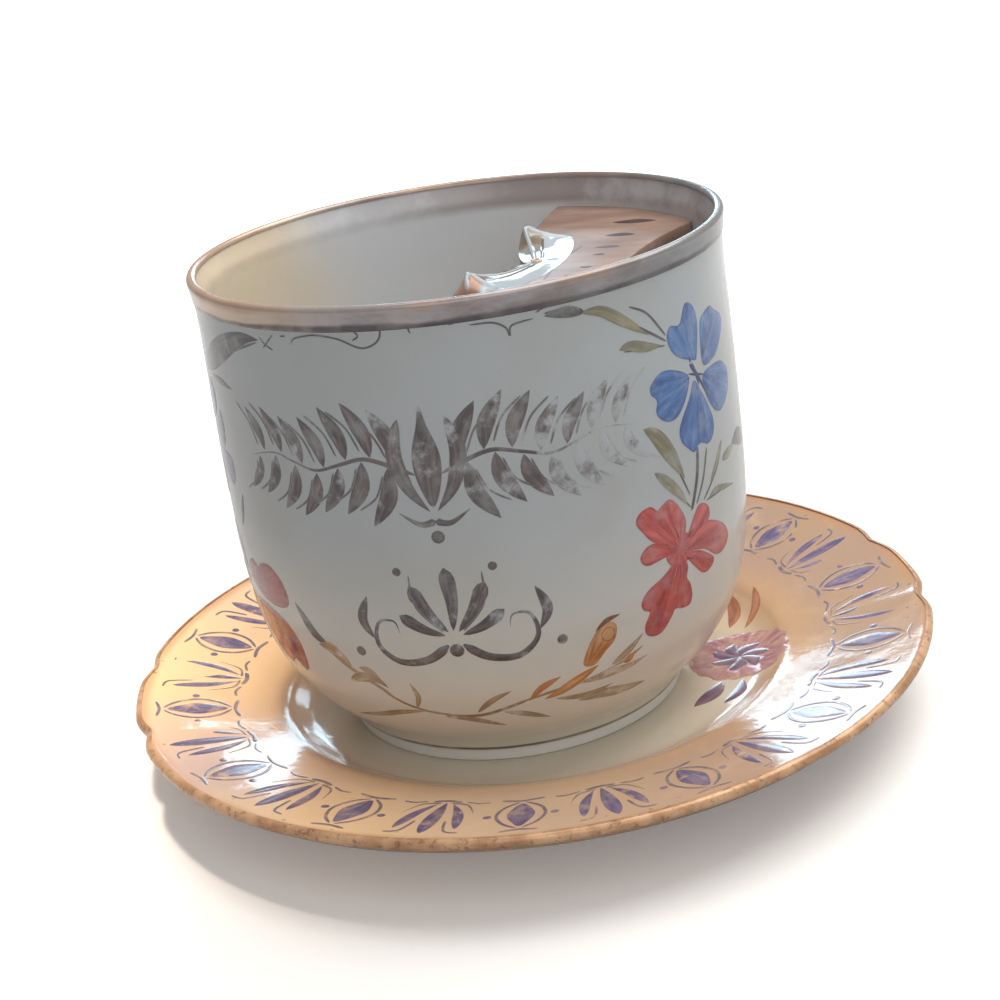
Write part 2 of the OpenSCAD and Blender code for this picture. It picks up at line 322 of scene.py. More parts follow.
class Painting:
    """Strokes and petals of one colour, each a thin closed shell on a surface. With degrees, a place
    on the cup is (degrees round the side, height), and otherwise it is in millimetres."""
    SUNK = -0.03
    LAYER_STEP = 0.002
    LAYERS = 12
    DOME_W = 0.5
    ROW_STEP = 0.866
    RIM_GAP = 0.55
    FAN = 6

    def __init__(self, name, surface, seed=1, lift=0.07, degrees=False):
        self.name = name
        self.surface = surface
        self.lift = lift
        self.degrees = degrees
        self.dice = random.Random(seed)
        self.verts = []
        self.faces = []
        self.rims = []
        self.held = {"edge": [], "along": [], "brush": [], "tone": []}
        self.made = 0

    def _flat(self, points):
        if self.degrees:
            return [(math.radians(a) * BODY_R, z) for a, z in points]
        return points

    def _shell(self, flat, faces, edge, along, brush):
        """Closes a flat patch: a domed top, a bottom below the glaze, and walls round the rim."""
        base = len(self.verts)
        n = len(flat)
        lift = self.lift + self.LAYER_STEP * (self.made % self.LAYERS)
        self.made += 1
        top = self.surface(flat, lift * (0.4 + 0.6 * smooth_step(edge / self.DOME_W)))
        low = self.surface(flat, np.full(n, self.SUNK))
        self.verts.extend(map(tuple, top))
        self.verts.extend(map(tuple, low))
        for f in faces:
            self.faces.append([base + k for k in f])
            self.faces.append([base + n + k for k in reversed(f)])
        for a, b in borders(faces):
            self.faces.append([base + b, base + a, base + n + a, base + n + b])
            self.rims.append((base + a, base + b))
        tone = [self.dice.random()] * n
        for values, own in zip(self.held.values(), (edge, along, brush, tone)):
            values.extend(own)
            values.extend(own)

    def petal(self, outline, base, grid=0.7, steps=5):
        """A smooth closed outline, filled. base is where the brush set off."""
        rim = loop(self._flat(outline), steps)
        area = np.sum(rim[:, 0] * np.roll(rim[:, 1], -1) - rim[:, 1] * np.roll(rim[:, 0], -1))
        if area < 0:
            rim = rim[::-1]
        low = rim.min(0)
        high = rim.max(0)
        xs = np.arange(low[0], high[0], grid)
        ys = np.arange(low[1], high[1], grid * self.ROW_STEP)
        inner = np.array([(x + (j % 2) * grid / 2, y) for j, y in enumerate(ys) for x in xs])
        inner = inner[lies_inside(inner, rim)]
        inner = inner[depth(inner, rim) > self.RIM_GAP * grid]
        flat = np.concatenate([rim, inner])
        ring = list(range(len(rim)))
        points, _, faces, *_ = delaunay_2d_cdt([Vector(p) for p in flat], [], [ring], 1, 1e-5)
        if len(points) != len(flat):
            flat = np.array([tuple(v) for v in points])
        edge = depth(flat, rim)
        start = np.array(self._flat([base])[0])
        away = flat - start
        along = np.linalg.norm(away, axis=1)
        mean = rim.mean(0) - start
        side = away @ np.array((-mean[1], mean[0]))
        brush = np.arctan2(side, away @ mean) * self.FAN
        along = along / along.max()
        self._shell(flat, faces, edge, along, brush)

    def petals(self, outlines, base):
        for outline in outlines:
            self.petal(outline, base)

    def stroke(self, points, width, shape="line", steps=6, lean=0):
        """A brush stroke along a smooth line. shape gives its width: line, leaf, tail or drop.
        lean moves the widest place of a leaf towards its start or its end."""
        line = curve(self._flat(points), steps)
        gaps = np.linalg.norm(np.diff(line, axis=0), axis=1)
        place = np.concatenate([[0], np.cumsum(gaps)])
        count = max(6, min(40, int(place[-1] / max(width * 0.3, 0.25))))
        u = np.linspace(0, 1, count)
        mid = np.stack([np.interp(u * place[-1], place, line[:, k]) for k in (0, 1)], -1)
        ahead = np.gradient(mid, axis=0)
        ahead = ahead / np.maximum(np.linalg.norm(ahead, axis=1, keepdims=True), TINY)
        out = np.stack([-ahead[:, 1], ahead[:, 0]], -1)
        v = u ** (1 - lean) if lean >= 0 else 1 - (1 - u) ** (1 + lean)
        half = {
            "line": np.sqrt(np.clip(1 - (2 * u - 1) ** 8, 0.02, 1)),
            "leaf": np.clip(np.sin(math.pi * v) ** 0.8, 0.03, 1),
            "tail": np.clip((1 - u) ** 0.7 * np.minimum(1, u * 12 + 0.25), 0.03, 1),
            "drop": np.clip(np.sqrt(u) * np.minimum(1, (1 - u) * 5) ** 0.5, 0.03, 1),
        }[shape] * width / 2
        across = [-1, -0.6, 0, 0.6, 1] if width > 1 else [-1, 0, 1]
        flat = np.concatenate([mid + out * (half * a)[:, None] for a in across])
        edge = np.concatenate([half * (1 - abs(a)) for a in across])
        brush = np.concatenate([half * a for a in across])
        self._shell(flat, grid_faces(len(across), count), edge, np.tile(u, len(across)), brush)

    def strokes(self, shape, lines, lean=0):
        """A stroke for each (points, width)."""
        for points, width in lines:
            self.stroke(points, width, shape, lean=lean)

    def dot(self, place, r):
        self.petal(oval(place, r, r), place, grid=max(r * 0.6, 0.3), steps=2)

    def done(self, material, body):
        piece = new_piece(self.name, self.verts, self.faces, body, material, sharp_angle=None)
        for key, values in self.held.items():
            hold(piece, key, values)
        rims = {tuple(sorted(pair)) for pair in self.rims}
        sharp = piece.data.attributes.new("sharp_edge", "BOOLEAN", "EDGE")
        sharp.data.foreach_set("value", [tuple(sorted(e.vertices)) in rims for e in piece.data.edges])


# Materials
def linear(colour):
    """A written 0 to 255 colour as Blender's linear colour."""
    return tuple(((c / 255 + 0.055) / 1.055) ** 2.4 if c > 10 else c / 255 / 12.92
                 for c in colour) + (1.0,)


class Nodes:
    """Makes and links the nodes of one tree."""

    def __init__(self, tree):
        self.tree = tree

    def fill(self, socket, value):
        if isinstance(value, bpy.types.NodeSocket):
            self.tree.links.new(value, socket)
        else:
            socket.default_value = value

    def node(self, kind, *values, **named):
        """A node whose first inputs hold the values. The named ones are other inputs or settings."""
        node = self.tree.nodes.new("ShaderNode" + kind)
        for socket, value in zip(node.inputs, values):
            self.fill(socket, value)
        for key, value in named.items():
            if key in node.inputs:
                self.fill(node.inputs[key], value)
            else:
                setattr(node, key, value)
        return node

    def sum(self, operation, *values):
        return self.node("Math", *values, operation=operation).outputs[0]

    def minus(self, a, b):
        return self.sum("SUBTRACT", a, b)

    def plus(self, a, b):
        return self.sum("ADD", a, b)

    def times(self, first, *others):
        for other in others:
            first = self.sum("MULTIPLY", first, other)
        return first

    def ramp(self, fac, low, high, out_low=0.0, out_high=1.0):
        return self.node("MapRange", fac, low, high, out_low, out_high,
                         interpolation_type="SMOOTHSTEP").outputs[0]

    def mix(self, fac, a, b):
        """From a to b: each a socket, a 0 to 255 colour, or a linear one of four numbers."""
        node = self.node("Mix", fac, data_type="RGBA")
        for k, colour in ((6, a), (7, b)):
            written = isinstance(colour, tuple) and len(colour) == 3
            self.fill(node.inputs[k], linear(colour) if written else colour)
        return node.outputs[2]


class Look(Nodes):
    """A node material round one Principled shader. Places on the object are in millimetres."""

    def __init__(self, name, rough=0.1, metallic=0.0, ior=1.5, specular=0.5):
        self.material = bpy.data.materials.new(name)
        self.material.use_nodes = True
        super().__init__(self.material.node_tree)
        self.shader = self.tree.nodes["Principled BSDF"]
        self.coords = self.node("TexCoord").outputs["Object"]
        self.put("Roughness", rough)
        self.put("Metallic", metallic)
        self.put("IOR", ior)
        self.put("Specular IOR Level", specular)

    def put(self, socket, value):
        self.fill(self.shader.inputs[socket], value)

    def over(self, colour, *shares):
        """Lays a colour over the tone so far, by the product of the shares."""
        self.tone = self.mix(self.times(*shares), self.tone, colour)

    def done(self):
        self.put("Base Color", self.tone)
        return self.material

    def stretched(self, *scale):
        return self.node("Mapping", self.coords, Scale=scale).outputs[0]

    def noise(self, scale, detail=3, vector=None, rough=0.5, distortion=0.0):
        """Noise with its middle near a half. The scale is in waves a metre."""
        return self.node("TexNoise", vector or self.coords, Scale=scale, Detail=detail,
                         Roughness=rough, Distortion=distortion).outputs[0]

    def uneven(self, scale, detail, reach):
        """Noise as a shift to both sides, over a reach in all."""
        return self.times(self.minus(self.noise(scale, detail), 0.5), reach)

    def cells(self, scale):
        return self.node("TexVoronoi", self.coords, Scale=scale).outputs["Distance"]

    def axis(self, k):
        return self.times(self.node("SeparateXYZ", self.coords).outputs[k], 1 / MM)

    def height(self):
        """Height above the cup's foot."""
        return self.minus(self.axis(2), CUP_Z)

    def radius(self, x=0.0, y=0.0):
        """Distance from an upright axis."""
        a = self.minus(self.axis(0), x)
        b = self.minus(self.axis(1), y)
        return self.sum("SQRT", self.plus(self.times(a, a), self.times(b, b)))

    def lit_to_shaded_side(self):
        """Distance from the saucer's middle, along the way from the side painted lit to the side painted in
        shade.
        """
        way = math.radians(PAINTED_SHADE_TURN)
        return self.plus(self.times(self.axis(0), math.cos(way)), self.times(self.axis(1), math.sin(way)))

    def held(self, name):
        return self.node("Attribute", attribute_name=name).outputs["Fac"]

    def bump(self, height, strength, distance):
        self.put("Normal", self.node("Bump", Height=height, Strength=strength, Distance=distance).outputs[0])

    def wavy_bump(self, scale, fine_share, strength):
        """The slow waves of a glaze, with a grain ten times finer."""
        fine = self.times(self.noise(scale * 10, 2), fine_share)
        self.bump(self.plus(self.noise(scale, 2), fine), strength, 0.0012)


GLAZE = (180, 186, 190)


def glaze_look(name, colour, other):
    """Clear gloss over clay: soft clouds of tone, a faint waviness and a few pits."""
    look = Look(name, rough=0.16, ior=1.42)
    look.tone = look.mix(look.ramp(look.noise(38, 4), 0.35, 0.68), colour, other)
    specks = look.ramp(look.cells(420), 0.0, 0.1, 0.35, 0.0)
    look.over((130, 118, 100), specks, look.ramp(look.noise(900, 2), 0.5, 0.72))
    look.wavy_bump(70, 0.06, 0.22)
    return look


def cup_glaze():
    """Pale glaze, lighter and warmer low down as painted light thrown up from the saucer. The inside is
    painted paler, with a painted warm glow on the lit side, and the mottled brown under the lip inside
    is painted stronger towards the shaded side, as painted shade. A grey line runs above the foot."""
    look = glaze_look("cup_glaze", GLAZE, (176, 180, 180))
    height = look.height()
    # Painted light: the lower body is made lighter and warmer, for light thrown up from the saucer.
    look.over((228, 224, 212), look.ramp(height, 52, 8), 0.88)
    # Painted light: the inside is made paler than the outside glaze, with a warm glow on the lit side.
    inside = look.times(look.held("inner"), look.ramp(height, FOOT_H + 1, FOOT_H + 3))
    painted_warm_glow = look.ramp(look.plus(look.lit_to_shaded_side(), look.times(look.noise(34, 4), 30)), -6, -30)
    look.over(look.mix(painted_warm_glow, (218, 223, 230), (234, 216, 184)), inside, 0.9)
    wobble = look.uneven(60, 2, 0.5)
    under_lip = look.ramp(look.plus(height, look.times(wobble, 3)), CUP_H - 6.5, CUP_H - 4.5)
    # Painted shade: the brown under the lip inside is made stronger towards the shaded side.
    shaded_side = look.ramp(look.lit_to_shaded_side(), -34, 14, 0.25, 1.0)
    mottled = look.ramp(look.noise(95, 5, rough=0.6), 0.36, 0.6, 0.35, 0.78)
    look.over((142, 128, 126), inside, under_lip, shaded_side, mottled)
    look.over((172, 166, 150), look.ramp(height, FOOT_H, FOOT_H - 0.3, 0, 0.7))
    ring = look.sum("ABSOLUTE", look.minus(look.plus(height, wobble), FOOT_H + 0.5))
    worn = look.ramp(look.noise(90, 2), 0.3, 0.62, 0.35, 0.95)
    look.over((104, 100, 98), look.ramp(ring, 0.42, 0.16), worn)
    return look.done()


def lip_gilding():
    """A worn grey lustre band, browner towards the lip, with a darker line along its lower margin. It is
    painted lighter and warmer on the lit side and darker, cooler and less brown on the shaded side.
    """
    look = Look("lip_gilding", rough=0.2, metallic=0.3, ior=1.45)
    rise = look.plus(look.height(), look.uneven(85, 4, 1.5))
    streaks = look.noise(90, 5, look.stretched(1, 1, 2.5), rough=0.65)
    look.tone = look.mix(look.ramp(streaks, 0.38, 0.62), (160, 156, 160), (134, 126, 126))
    # Painted light: the band is made lighter and warmer on the lit side.
    look.over((214, 190, 166), look.ramp(look.lit_to_shaded_side(), -18, -46))
    # Painted shade: the band is made darker and cooler on the shaded side.
    shaded_side = look.ramp(look.lit_to_shaded_side(), 4, 40)
    look.over((120, 128, 132), shaded_side, 0.7)
    patchy = look.ramp(look.noise(42, 3), 0.36, 0.62, 0.15, 0.85)
    # The brown towards the lip is laid thinner on the shaded side, as part of the painted shade.
    look.over((166, 136, 116), look.ramp(rise, CUP_H - 1.7, CUP_H - 0.5), patchy,
              look.ramp(shaded_side, 0.2, 1.0, 1.0, 0.3))
    look.over((196, 186, 176), look.ramp(look.noise(110, 3), 0.5, 0.75), 0.3)
    broken = look.ramp(look.noise(130, 4), 0.34, 0.58, 0.55, 0.95)
    look.over((82, 76, 82), look.ramp(rise, CUP_H - 2.5, CUP_H - 3.2), broken)
    look.bump(look.noise(500, 3), 0.2, 0.0002)
    return look.done()


def guard_lustre():
    """Pinkish tan lustre brushed thinly over the guard."""
    look = Look("guard_lustre", rough=0.34, ior=1.35, specular=0.22)
    streaks = look.noise(55, 5, look.stretched(1, 3.2, 1), rough=0.6)
    look.tone = look.mix(look.ramp(streaks, 0.34, 0.66), (160, 134, 121), (138, 112, 100))
    look.over((172, 150, 138), look.ramp(look.noise(85, 3), 0.55, 0.75), 0.6)
    look.bump(look.noise(240, 3), 0.2, 0.0004)
    return look.done()


def crest_glaze():
    """White glaze on the cove, white kept along the ridges as a painted highlight, and brown lustre in
    the panels of the wings.
    """
    look = glaze_look("crest_glaze", (182, 192, 200), (166, 180, 192))
    side = look.sum("ABSOLUTE", look.minus(look.axis(1), CUP_Y))
    across = look.minus(look.axis(0), CUP_X)
    past = look.minus(across, look.minus(PANEL_X, look.times(side, PANEL_LEAN)))
    wing = look.ramp(side, 0.9, 2.2)
    lobe = look.times(look.ramp(side, 15.0, 15.8), look.ramp(across, 11, 9.6))
    panel = look.sum("MAXIMUM", look.times(wing, look.ramp(past, 0.3, -0.3)), lobe)
    patch = look.ramp(look.noise(190, 3), 0.3, 0.6, 0.6, 1.0)
    # Painted highlight: the brown is kept off the ridges, so that they stay white.
    off_ridge_highlight = look.minus(1.0, look.ramp(look.held("ridge"), 0.2, 0.6))
    brown = look.mix(look.noise(150, 2), (136, 112, 78), (104, 82, 60))
    look.over(look.mix(lobe, brown, (166, 122, 94)), panel, patch, off_ridge_highlight)
    line = look.ramp(look.sum("ABSOLUTE", past), 0.32, 0.12)
    look.over((70, 56, 48), line, wing, look.ramp(side, 14, 13), 0.8)
    look.put("Roughness", 0.06)
    return look.done()


def boss_glaze():
    """Cream glaze on the ring boss, with brown in its hollow."""
    look = glaze_look("boss_glaze", (222, 210, 186), (204, 188, 158))
    look.over((116, 84, 48), look.ramp(look.radius(CUP_X + BOSS_X, CUP_Y), 0.5, 0.3))
    return look.done()


def saucer_lustre():
    """Thin peach lustre, painted brighter on the lit side and duller on the shaded side as painted light
    and shade, with a painted rosy reflection towards the front left, deeper towards the edge, bare and
    pale in the well.
    """
    look = Look("saucer_lustre", rough=0.1, ior=1.42)
    r = look.radius()
    # Painted light and shade: the lustre is made brighter and more orange on the lit side, duller on the
    # shaded side.
    side = look.plus(look.lit_to_shaded_side(), look.times(look.noise(18, 3), 40))
    bright = look.mix(look.ramp(look.noise(16, 4), 0.36, 0.64), (252, 212, 162), (246, 210, 178))
    shaded_side = look.mix(look.ramp(look.noise(21, 4), 0.36, 0.64), (192, 158, 120), (184, 153, 134))
    look.tone = look.mix(look.ramp(side, -30, 70), bright, shaded_side)
    streak = look.noise(48, 5, rough=0.6, distortion=0.6)
    look.over((234, 200, 162), look.ramp(streak, 0.5, 0.75, 0, 0.4))
    # Painted reflection: a rosy grey patch towards the front left.
    rosy_reflection = look.ramp(look.radius(-34, -44), 36, 10, 0, 0.75)
    look.over((206, 182, 178), rosy_reflection, look.ramp(look.noise(30, 3), 0.3, 0.6, 0.5, 1.0))
    look.over((208, 164, 120), look.ramp(r, 42, 46), look.ramp(r, 54, 47), 0.4)
    away = look.minus(look.axis(1), look.times(look.axis(0), 0.4))
    bare = look.mix(look.ramp(away, -36, 50), (214, 210, 194), (214, 184, 148))
    look.over(bare, look.ramp(r, 46, 37), 0.85)
    look.over((206, 150, 108), look.ramp(look.plus(r, look.uneven(70, 3, 2)), 68.8, 70.8), 0.6)
    look.over((120, 78, 52), look.ramp(look.cells(300), 0.15, 0.05), look.ramp(r, 66, 71, 0.03, 0.7))
    look.wavy_bump(60, 0.08, 0.25)
    return look.done()


def edge_gilding():
    """Worn gilding: the peach lustre shows through, and fine dark specks are left on it."""
    look = Look("edge_gilding", rough=0.28, metallic=0.15, ior=1.45)
    patch = look.noise(110, 5, rough=0.65)
    look.tone = look.mix(look.ramp(patch, 0.4, 0.62), (176, 132, 96), (214, 172, 134))
    look.over((112, 78, 56), look.ramp(look.noise(760, 4, rough=0.7), 0.54, 0.64), 0.6)
    look.bump(look.noise(600, 3), 0.3, 0.0002)
    return look.done()


def paint(name, core, dark, pale=None, ground=GLAZE, wear=0.0, pool=0.5, rough=0.14, metallic=0.0,
          fade=None, streaks=0.9, thin=0.25, specular=0.5):
    """Brushed enamel: streaks that follow the brush, a darker pool along the rim, thin places
    that let the ground through, and wear that bares it. fade is (x low, x high): the wear grows
    from the one to the other."""
    look = Look(name, rough=rough, metallic=metallic, specular=specular)
    edge = look.held("edge")
    own = look.held("tone")
    pale = pale or tuple((2 * c + g) / 3 for c, g in zip(core, ground))
    flow = look.node("CombineXYZ", look.held("brush"), look.times(look.held("along"), 1.2),
                     look.times(own, 40))
    brushed = look.noise(streaks, 4, flow.outputs[0], rough=0.6)
    look.tone = look.mix(look.ramp(brushed, 0.38, 0.66), core, dark)
    look.over(pale, look.ramp(brushed, 0.46, 0.3, 0, 0.75))
    look.over(dark, own, 0.2)
    look.over(dark, look.ramp(edge, 0.5, 0.12, 0, pool))
    look.over(ground, look.ramp(look.noise(230, 4, rough=0.6), 0.45, 0.7), thin)
    if wear:
        rubbed = look.plus(look.noise(260, 4, rough=0.6), look.times(own, 0.05))
        if fade:
            rubbed = look.plus(rubbed, look.ramp(look.axis(0), *fade, 0, 0.22))
        bare = look.ramp(rubbed, 0.66 - wear * 0.25, 0.86 - wear * 0.2, 0, 0.88)
        look.over(ground, bare)
        if metallic:
            look.put("Metallic", look.times(look.minus(1.0, bare), metallic))
    look.over(ground, look.ramp(edge, 0.0, 0.12, 0.5, 0.0))
    return look.done()


# The cup's shell
def ring_outline(r, width, height):
    """The section of a foot ring, with its two lower corners rounded."""
    bevel = width / 6
    return np.concatenate([
        [(r - width, height)],
        arc((r - width + bevel, bevel), bevel, 180, 270, 5),
        arc((r - bevel, bevel), bevel, 270, 360, 5),
        [(r, height)]])


def lip_skin(out, start):
    """The side's top and the lip, moved out. start is how far in its first point lies."""
    band = [(r, z) for r, z in SIDE if z > CUP_H - GILD_H]
    first = (band[0][0] - start, band[0][1] - 0.15)
    return np.concatenate([[first], [(r + out, z) for r, z in band],
                           arc((LIP_R - LIP_ROUND, LIP_Z), LIP_ROUND + out, 0, 180, 16)[1:]])


def build_cup():
    inside = [(r - WALL, z + FLOOR_T * (1 - (z - FOOT_H) / SIDE_H))
              for r, z in SIDE if FOOT_H + FLOOR_FILLET * 0.7 < z < FOOT_H + SIDE_H * 0.58]
    corner = (SPRING_R - WALL, FOOT_H + FLOOR_T)
    ease = np.linspace(0, 1, 9)[:-1, None]
    fillet = ((1 - ease) ** 2 * (corner[0] - FLOOR_FILLET, corner[1])
              + 2 * ease * (1 - ease) * corner + ease ** 2 * inside[0])
    lip = arc((LIP_R - LIP_ROUND, LIP_Z), LIP_ROUND, 0, 180, 16)
    lip_inner = LIP_R - 2 * LIP_ROUND
    flare = curve([(lip_inner, LIP_Z), (lip_inner - 0.35, LIP_Z - 1.2),
                   (BORE_R + 0.2, CUP_H - LIP_FLARE_H + 1.2), (BORE_R, CUP_H - LIP_FLARE_H - 0.4)], 4)
    straight = [(BORE_R, z) for z in (70, 62, 56)]
    outline = np.concatenate([[(0, FOOT_H)], [(SPRING_R - 1, FOOT_H)], SIDE, lip[1:], flare[1:],
                              straight, inside[::-1], fillet[::-1], [(0, FOOT_H + FLOOR_T)]])
    verts, faces = revolve(outline, CUP_SIDES, CUP)
    cup = new_piece("cup_pot", verts, faces, "cup", cup_glaze(), sharp_angle=50)
    places = np.array(verts) - CUP
    hold(cup, "inner", np.hypot(places[:, 0], places[:, 1]) < side_r(places[:, 2]) - WALL / 2)
    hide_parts("cup_body")


def build_cup_foot():
    verts, faces = revolve(ring_outline(FOOT_R, FOOT_W, FOOT_H), CUP_SIDES, CUP)
    foot = new_piece("cup_foot", verts, faces, "cup", bpy.data.materials["cup_glaze"], sharp_angle=60)
    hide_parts("cup_foot_ring")


def build_lip_gilding():
    skin = np.concatenate([lip_skin(GILD_T, 0.02), lip_skin(-0.05, 0.05)[::-1]])
    verts, faces = revolve(skin, CUP_SIDES, CUP)
    gilt = new_piece("lip_gilt_band", verts, faces, "cup", lip_gilding(), sharp_angle=60)
    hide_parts("cup_rim_gilding")


# The moustache guard
WING_X = 6.0
WING_Y = 15.0
NOTCH_X = 12.4
GUARD_WALL_X = 4.0
SIP_X = 29.9
SIP_R = 66.0
SIP_DEPTH = 4.8
SIP_GAP = 0.7
GUARD_END_Y = 40.2
GUARD_BITE = 0.25


def edge_x(y):
    """The guard's free edge: two wings and a notch."""
    a = np.abs(y)
    near = NOTCH_X - (NOTCH_X - WING_X) * (np.minimum(a, WING_Y) / WING_Y) ** 0.62
    far = WING_X + (GUARD_WALL_X - WING_X) * smooth_step((a - WING_Y) / (BORE_R - WING_Y))
    return np.where(a < WING_Y, near, far)


def guard_outline():
    """The plate seen from above: its free edge, the wall's round and the drink opening's inner edge."""
    ys = np.linspace(-GUARD_END_Y, GUARD_END_Y, 81)
    free = np.stack([edge_x(ys), ys], -1)
    r = BORE_R + GUARD_BITE
    corner = math.degrees(math.acos((SIP_X + SIP_DEPTH) / r))
    start = math.degrees(math.atan2(free[-1][1], free[-1][0]))
    upper = arc((0, 0), r, start, corner, 24)
    lower = arc((0, 0), r, -corner, -start, 24)
    cut = math.sin(math.radians(corner)) * r
    ys = np.linspace(cut - SIP_GAP, SIP_GAP - cut, 49)
    sip = np.stack([SIP_X + SIP_R - np.sqrt(SIP_R ** 2 - ys ** 2), ys], -1)
    return np.concatenate([free, upper, sip, lower])


def build_guard():
    rim = guard_outline()
    n = len(rim)
    verts = []
    # The height of each ring of points from the top, and how far in from the free edge it lies
    levels = [(0.0, 0.45), (-0.12, 0.12), (-0.45, 0.0), (-GUARD_T + 0.4, 0.0), (-GUARD_T + 0.1, 0.12),
              (-GUARD_T, 0.45)]
    centre = np.array((22.0, 0.0))
    ahead = np.roll(rim, -1, 0) - np.roll(rim, 1, 0)
    ahead = ahead / np.linalg.norm(ahead, axis=1, keepdims=True)
    inward = np.stack([-ahead[:, 1], ahead[:, 0]], -1)
    if ((centre - rim) * inward).sum() < 0:
        inward = -inward
    free = np.hypot(rim[:, 0], rim[:, 1]) < BORE_R - 0.3
    for drop, step in levels:
        for p, q, open_edge in zip(rim, inward, free):
            place = p + q * (step if open_edge else 0)
            verts.append((CUP_X + place[0], CUP_Y + place[1], GUARD_TOP + drop))
    faces = grid_faces(len(levels), n, closed=True)
    faces.append(list(reversed(range(n))))
    faces.append([(len(levels) - 1) * n + k for k in range(n)])
    plate = new_piece("guard_plate", verts, faces, "cup", guard_lustre(), sharp_angle=35)
    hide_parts("moustache_guard")


CREST_Y = 21.0
CREST_BACK_X = 18.5
CREST_END_X = 13.0
CREST_H = 2.66
CREST_LOW_H = 0.18
CREST_SUNK = 0.05
TIP_Y = 14.5
WING_END_Y = 18.7
BOSS_X = NOTCH_X + 1.55
RIDGE_SHARE = 0.2
RIDGE_START_Y = 1.3
RIDGE_X = 13
PANEL_X = 14.9
PANEL_LEAN = 0.31


def bead(x, y, start, end, width):
    """How much of a rounded bead along a straight line there is at a place."""
    run = end[0] - start[0]
    rise = end[1] - start[1]
    t = np.clip(((x - start[0]) * run + (y - start[1]) * rise) / (run ** 2 + rise ** 2), 0, 1)
    d = np.hypot(x - start[0] - t * run, y - start[1] - t * rise)
    return np.exp(-(d / width) ** 2) * (1 - 0.3 * t)


def crest_back(y):
    return CREST_BACK_X + (CREST_END_X - CREST_BACK_X) * (y / CREST_Y) ** 2


def crest_ridge(a):
    """Where the ridge stands and how high it is, at a distance from the crest's middle."""
    t = np.clip((a - RIDGE_START_Y) / (TIP_Y - RIDGE_START_Y), 0, 1)
    past = np.clip((a - TIP_Y) / (WING_END_Y - TIP_Y), 0, 1)
    x = RIDGE_X - 5.78 * t ** 1.21 + 0.3 * np.maximum(a - TIP_Y, 0)
    return x, (CREST_LOW_H + (CREST_H - CREST_LOW_H) * t ** 3.1) * np.sqrt(1 - past ** 2)


def crest_point(y, s):
    """The crest: (x, height, how much of a ridge it is), with s from 0 at the free edge to 1 at the
    back. A thin ridge stands back from the edge, with a hollow sweep behind it, and a bar runs back
    from each wing's tip."""
    a = np.abs(y)
    front = edge_x(y)
    ridge_x, top = crest_ridge(a)
    t = s / RIDGE_SHARE
    u = (s - RIDGE_SHARE) / (1 - RIDGE_SHARE)
    if s < RIDGE_SHARE:
        x = front + (ridge_x - front) * t
        height = top * (0.4 + 0.6 * smooth_step(t)) * (0.5 + 0.5 * np.sqrt(np.minimum(t / 0.3, 1)))
    else:
        x = ridge_x + (crest_back(y) - ridge_x) * u
        height = top * (1 - u) ** 1.9 + 0.3 * (1 - u) ** 0.5 * np.exp(-((x - 15.6) / 2.2) ** 2)
    ridge = np.exp(-((x - ridge_x) / 0.38) ** 2) * min(1, max(0, (WING_END_Y - a) * 2))
    ease_back = np.clip((1 - s) * 5, 0, 1)
    bar = bead(x, a, (8.4, 14.9), (14.3, 17.4), 0.5) * ease_back
    line = np.exp(-((x - PANEL_X + PANEL_LEAN * a) / 0.28) ** 2) * (a > 2.5) * (a < 14)
    height = height + 0.16 * ridge + 0.5 * bar - 0.12 * line * ease_back
    return x, np.clip(height, 0.03, 2.95), np.maximum(ridge, bar)


def build_crest():
    ys = np.linspace(-WING_END_Y, WING_END_Y, 161)
    ss = np.concatenate([np.linspace(0, 0.14, 7), np.linspace(0.16, 0.4, 17), np.linspace(0.42, 1, 22)])
    verts = []
    ridge = []
    for y in ys:
        for s in ss:
            x, height, much = crest_point(y, s)
            verts.append((CUP_X + float(x), CUP_Y + y, GUARD_TOP + float(height)))
            ridge.append(float(much))
    count = len(verts)
    verts.extend((x, y, GUARD_TOP - CREST_SUNK) for x, y, _ in verts[:count])
    ridge.extend([0.0] * count)
    top = grid_faces(len(ys), len(ss))
    faces = []
    for quad in top:
        faces.append(quad)
        faces.append([count + k for k in quad[::-1]])
    faces.extend([[b, a, count + a, count + b] for a, b in borders(top)])
    crest = new_piece("guard_wings", verts, faces, "cup", crest_glaze(), sharp_angle=70)
    hold(crest, "ridge", ridge)
    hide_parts("guard_crest")


def build_boss():
    """The ring boss in the crest's notch."""
    outline = np.concatenate([[(0, -0.1), (0.9, -0.1)], curve(
        [(0.98, 0.15), (0.95, 0.42), (0.72, 0.66), (0.45, 0.6), (0.22, 0.4)], 4), [(0, 0.36)]])
    verts, faces = revolve(outline, 40, (CUP_X + BOSS_X, CUP_Y, GUARD_TOP))
    boss = new_piece("guard_ring_boss", verts, faces, "cup", boss_glaze())
    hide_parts("guard_crest")


# The handle
HANDLE_SHARES = [
    (-0.08, 1), (0.2, 1.07), (0.6, 1.12), (0.93, 0.93), (1, 0.62), (0.82, 0.32), (0.45, 0.11),
    (0.12, 0.01), (-0.1, -0.02)]
HANDLE_SIZES = [1.25, 0.98, 0.95, 1, 1, 0.95, 0.88, 0.95, 1.15]
THUMB_SHARES = [(0, -0.35), (0, 0.2), (0.12, 0.62), (0.42, 0.9)]
THUMB_SIZES = [1, 0.94, 0.75, 0.4]
HANDLE_TOP = 64.0
HANDLE_LOW = 26.0
HANDLE_REACH = 68.5
HANDLE_W = 8.0
HANDLE_T = 5.0
HANDLE_SUNK = 1.6
THUMB_L = 7.0
THUMB_W = 6.0
THUMB_T = 4.0


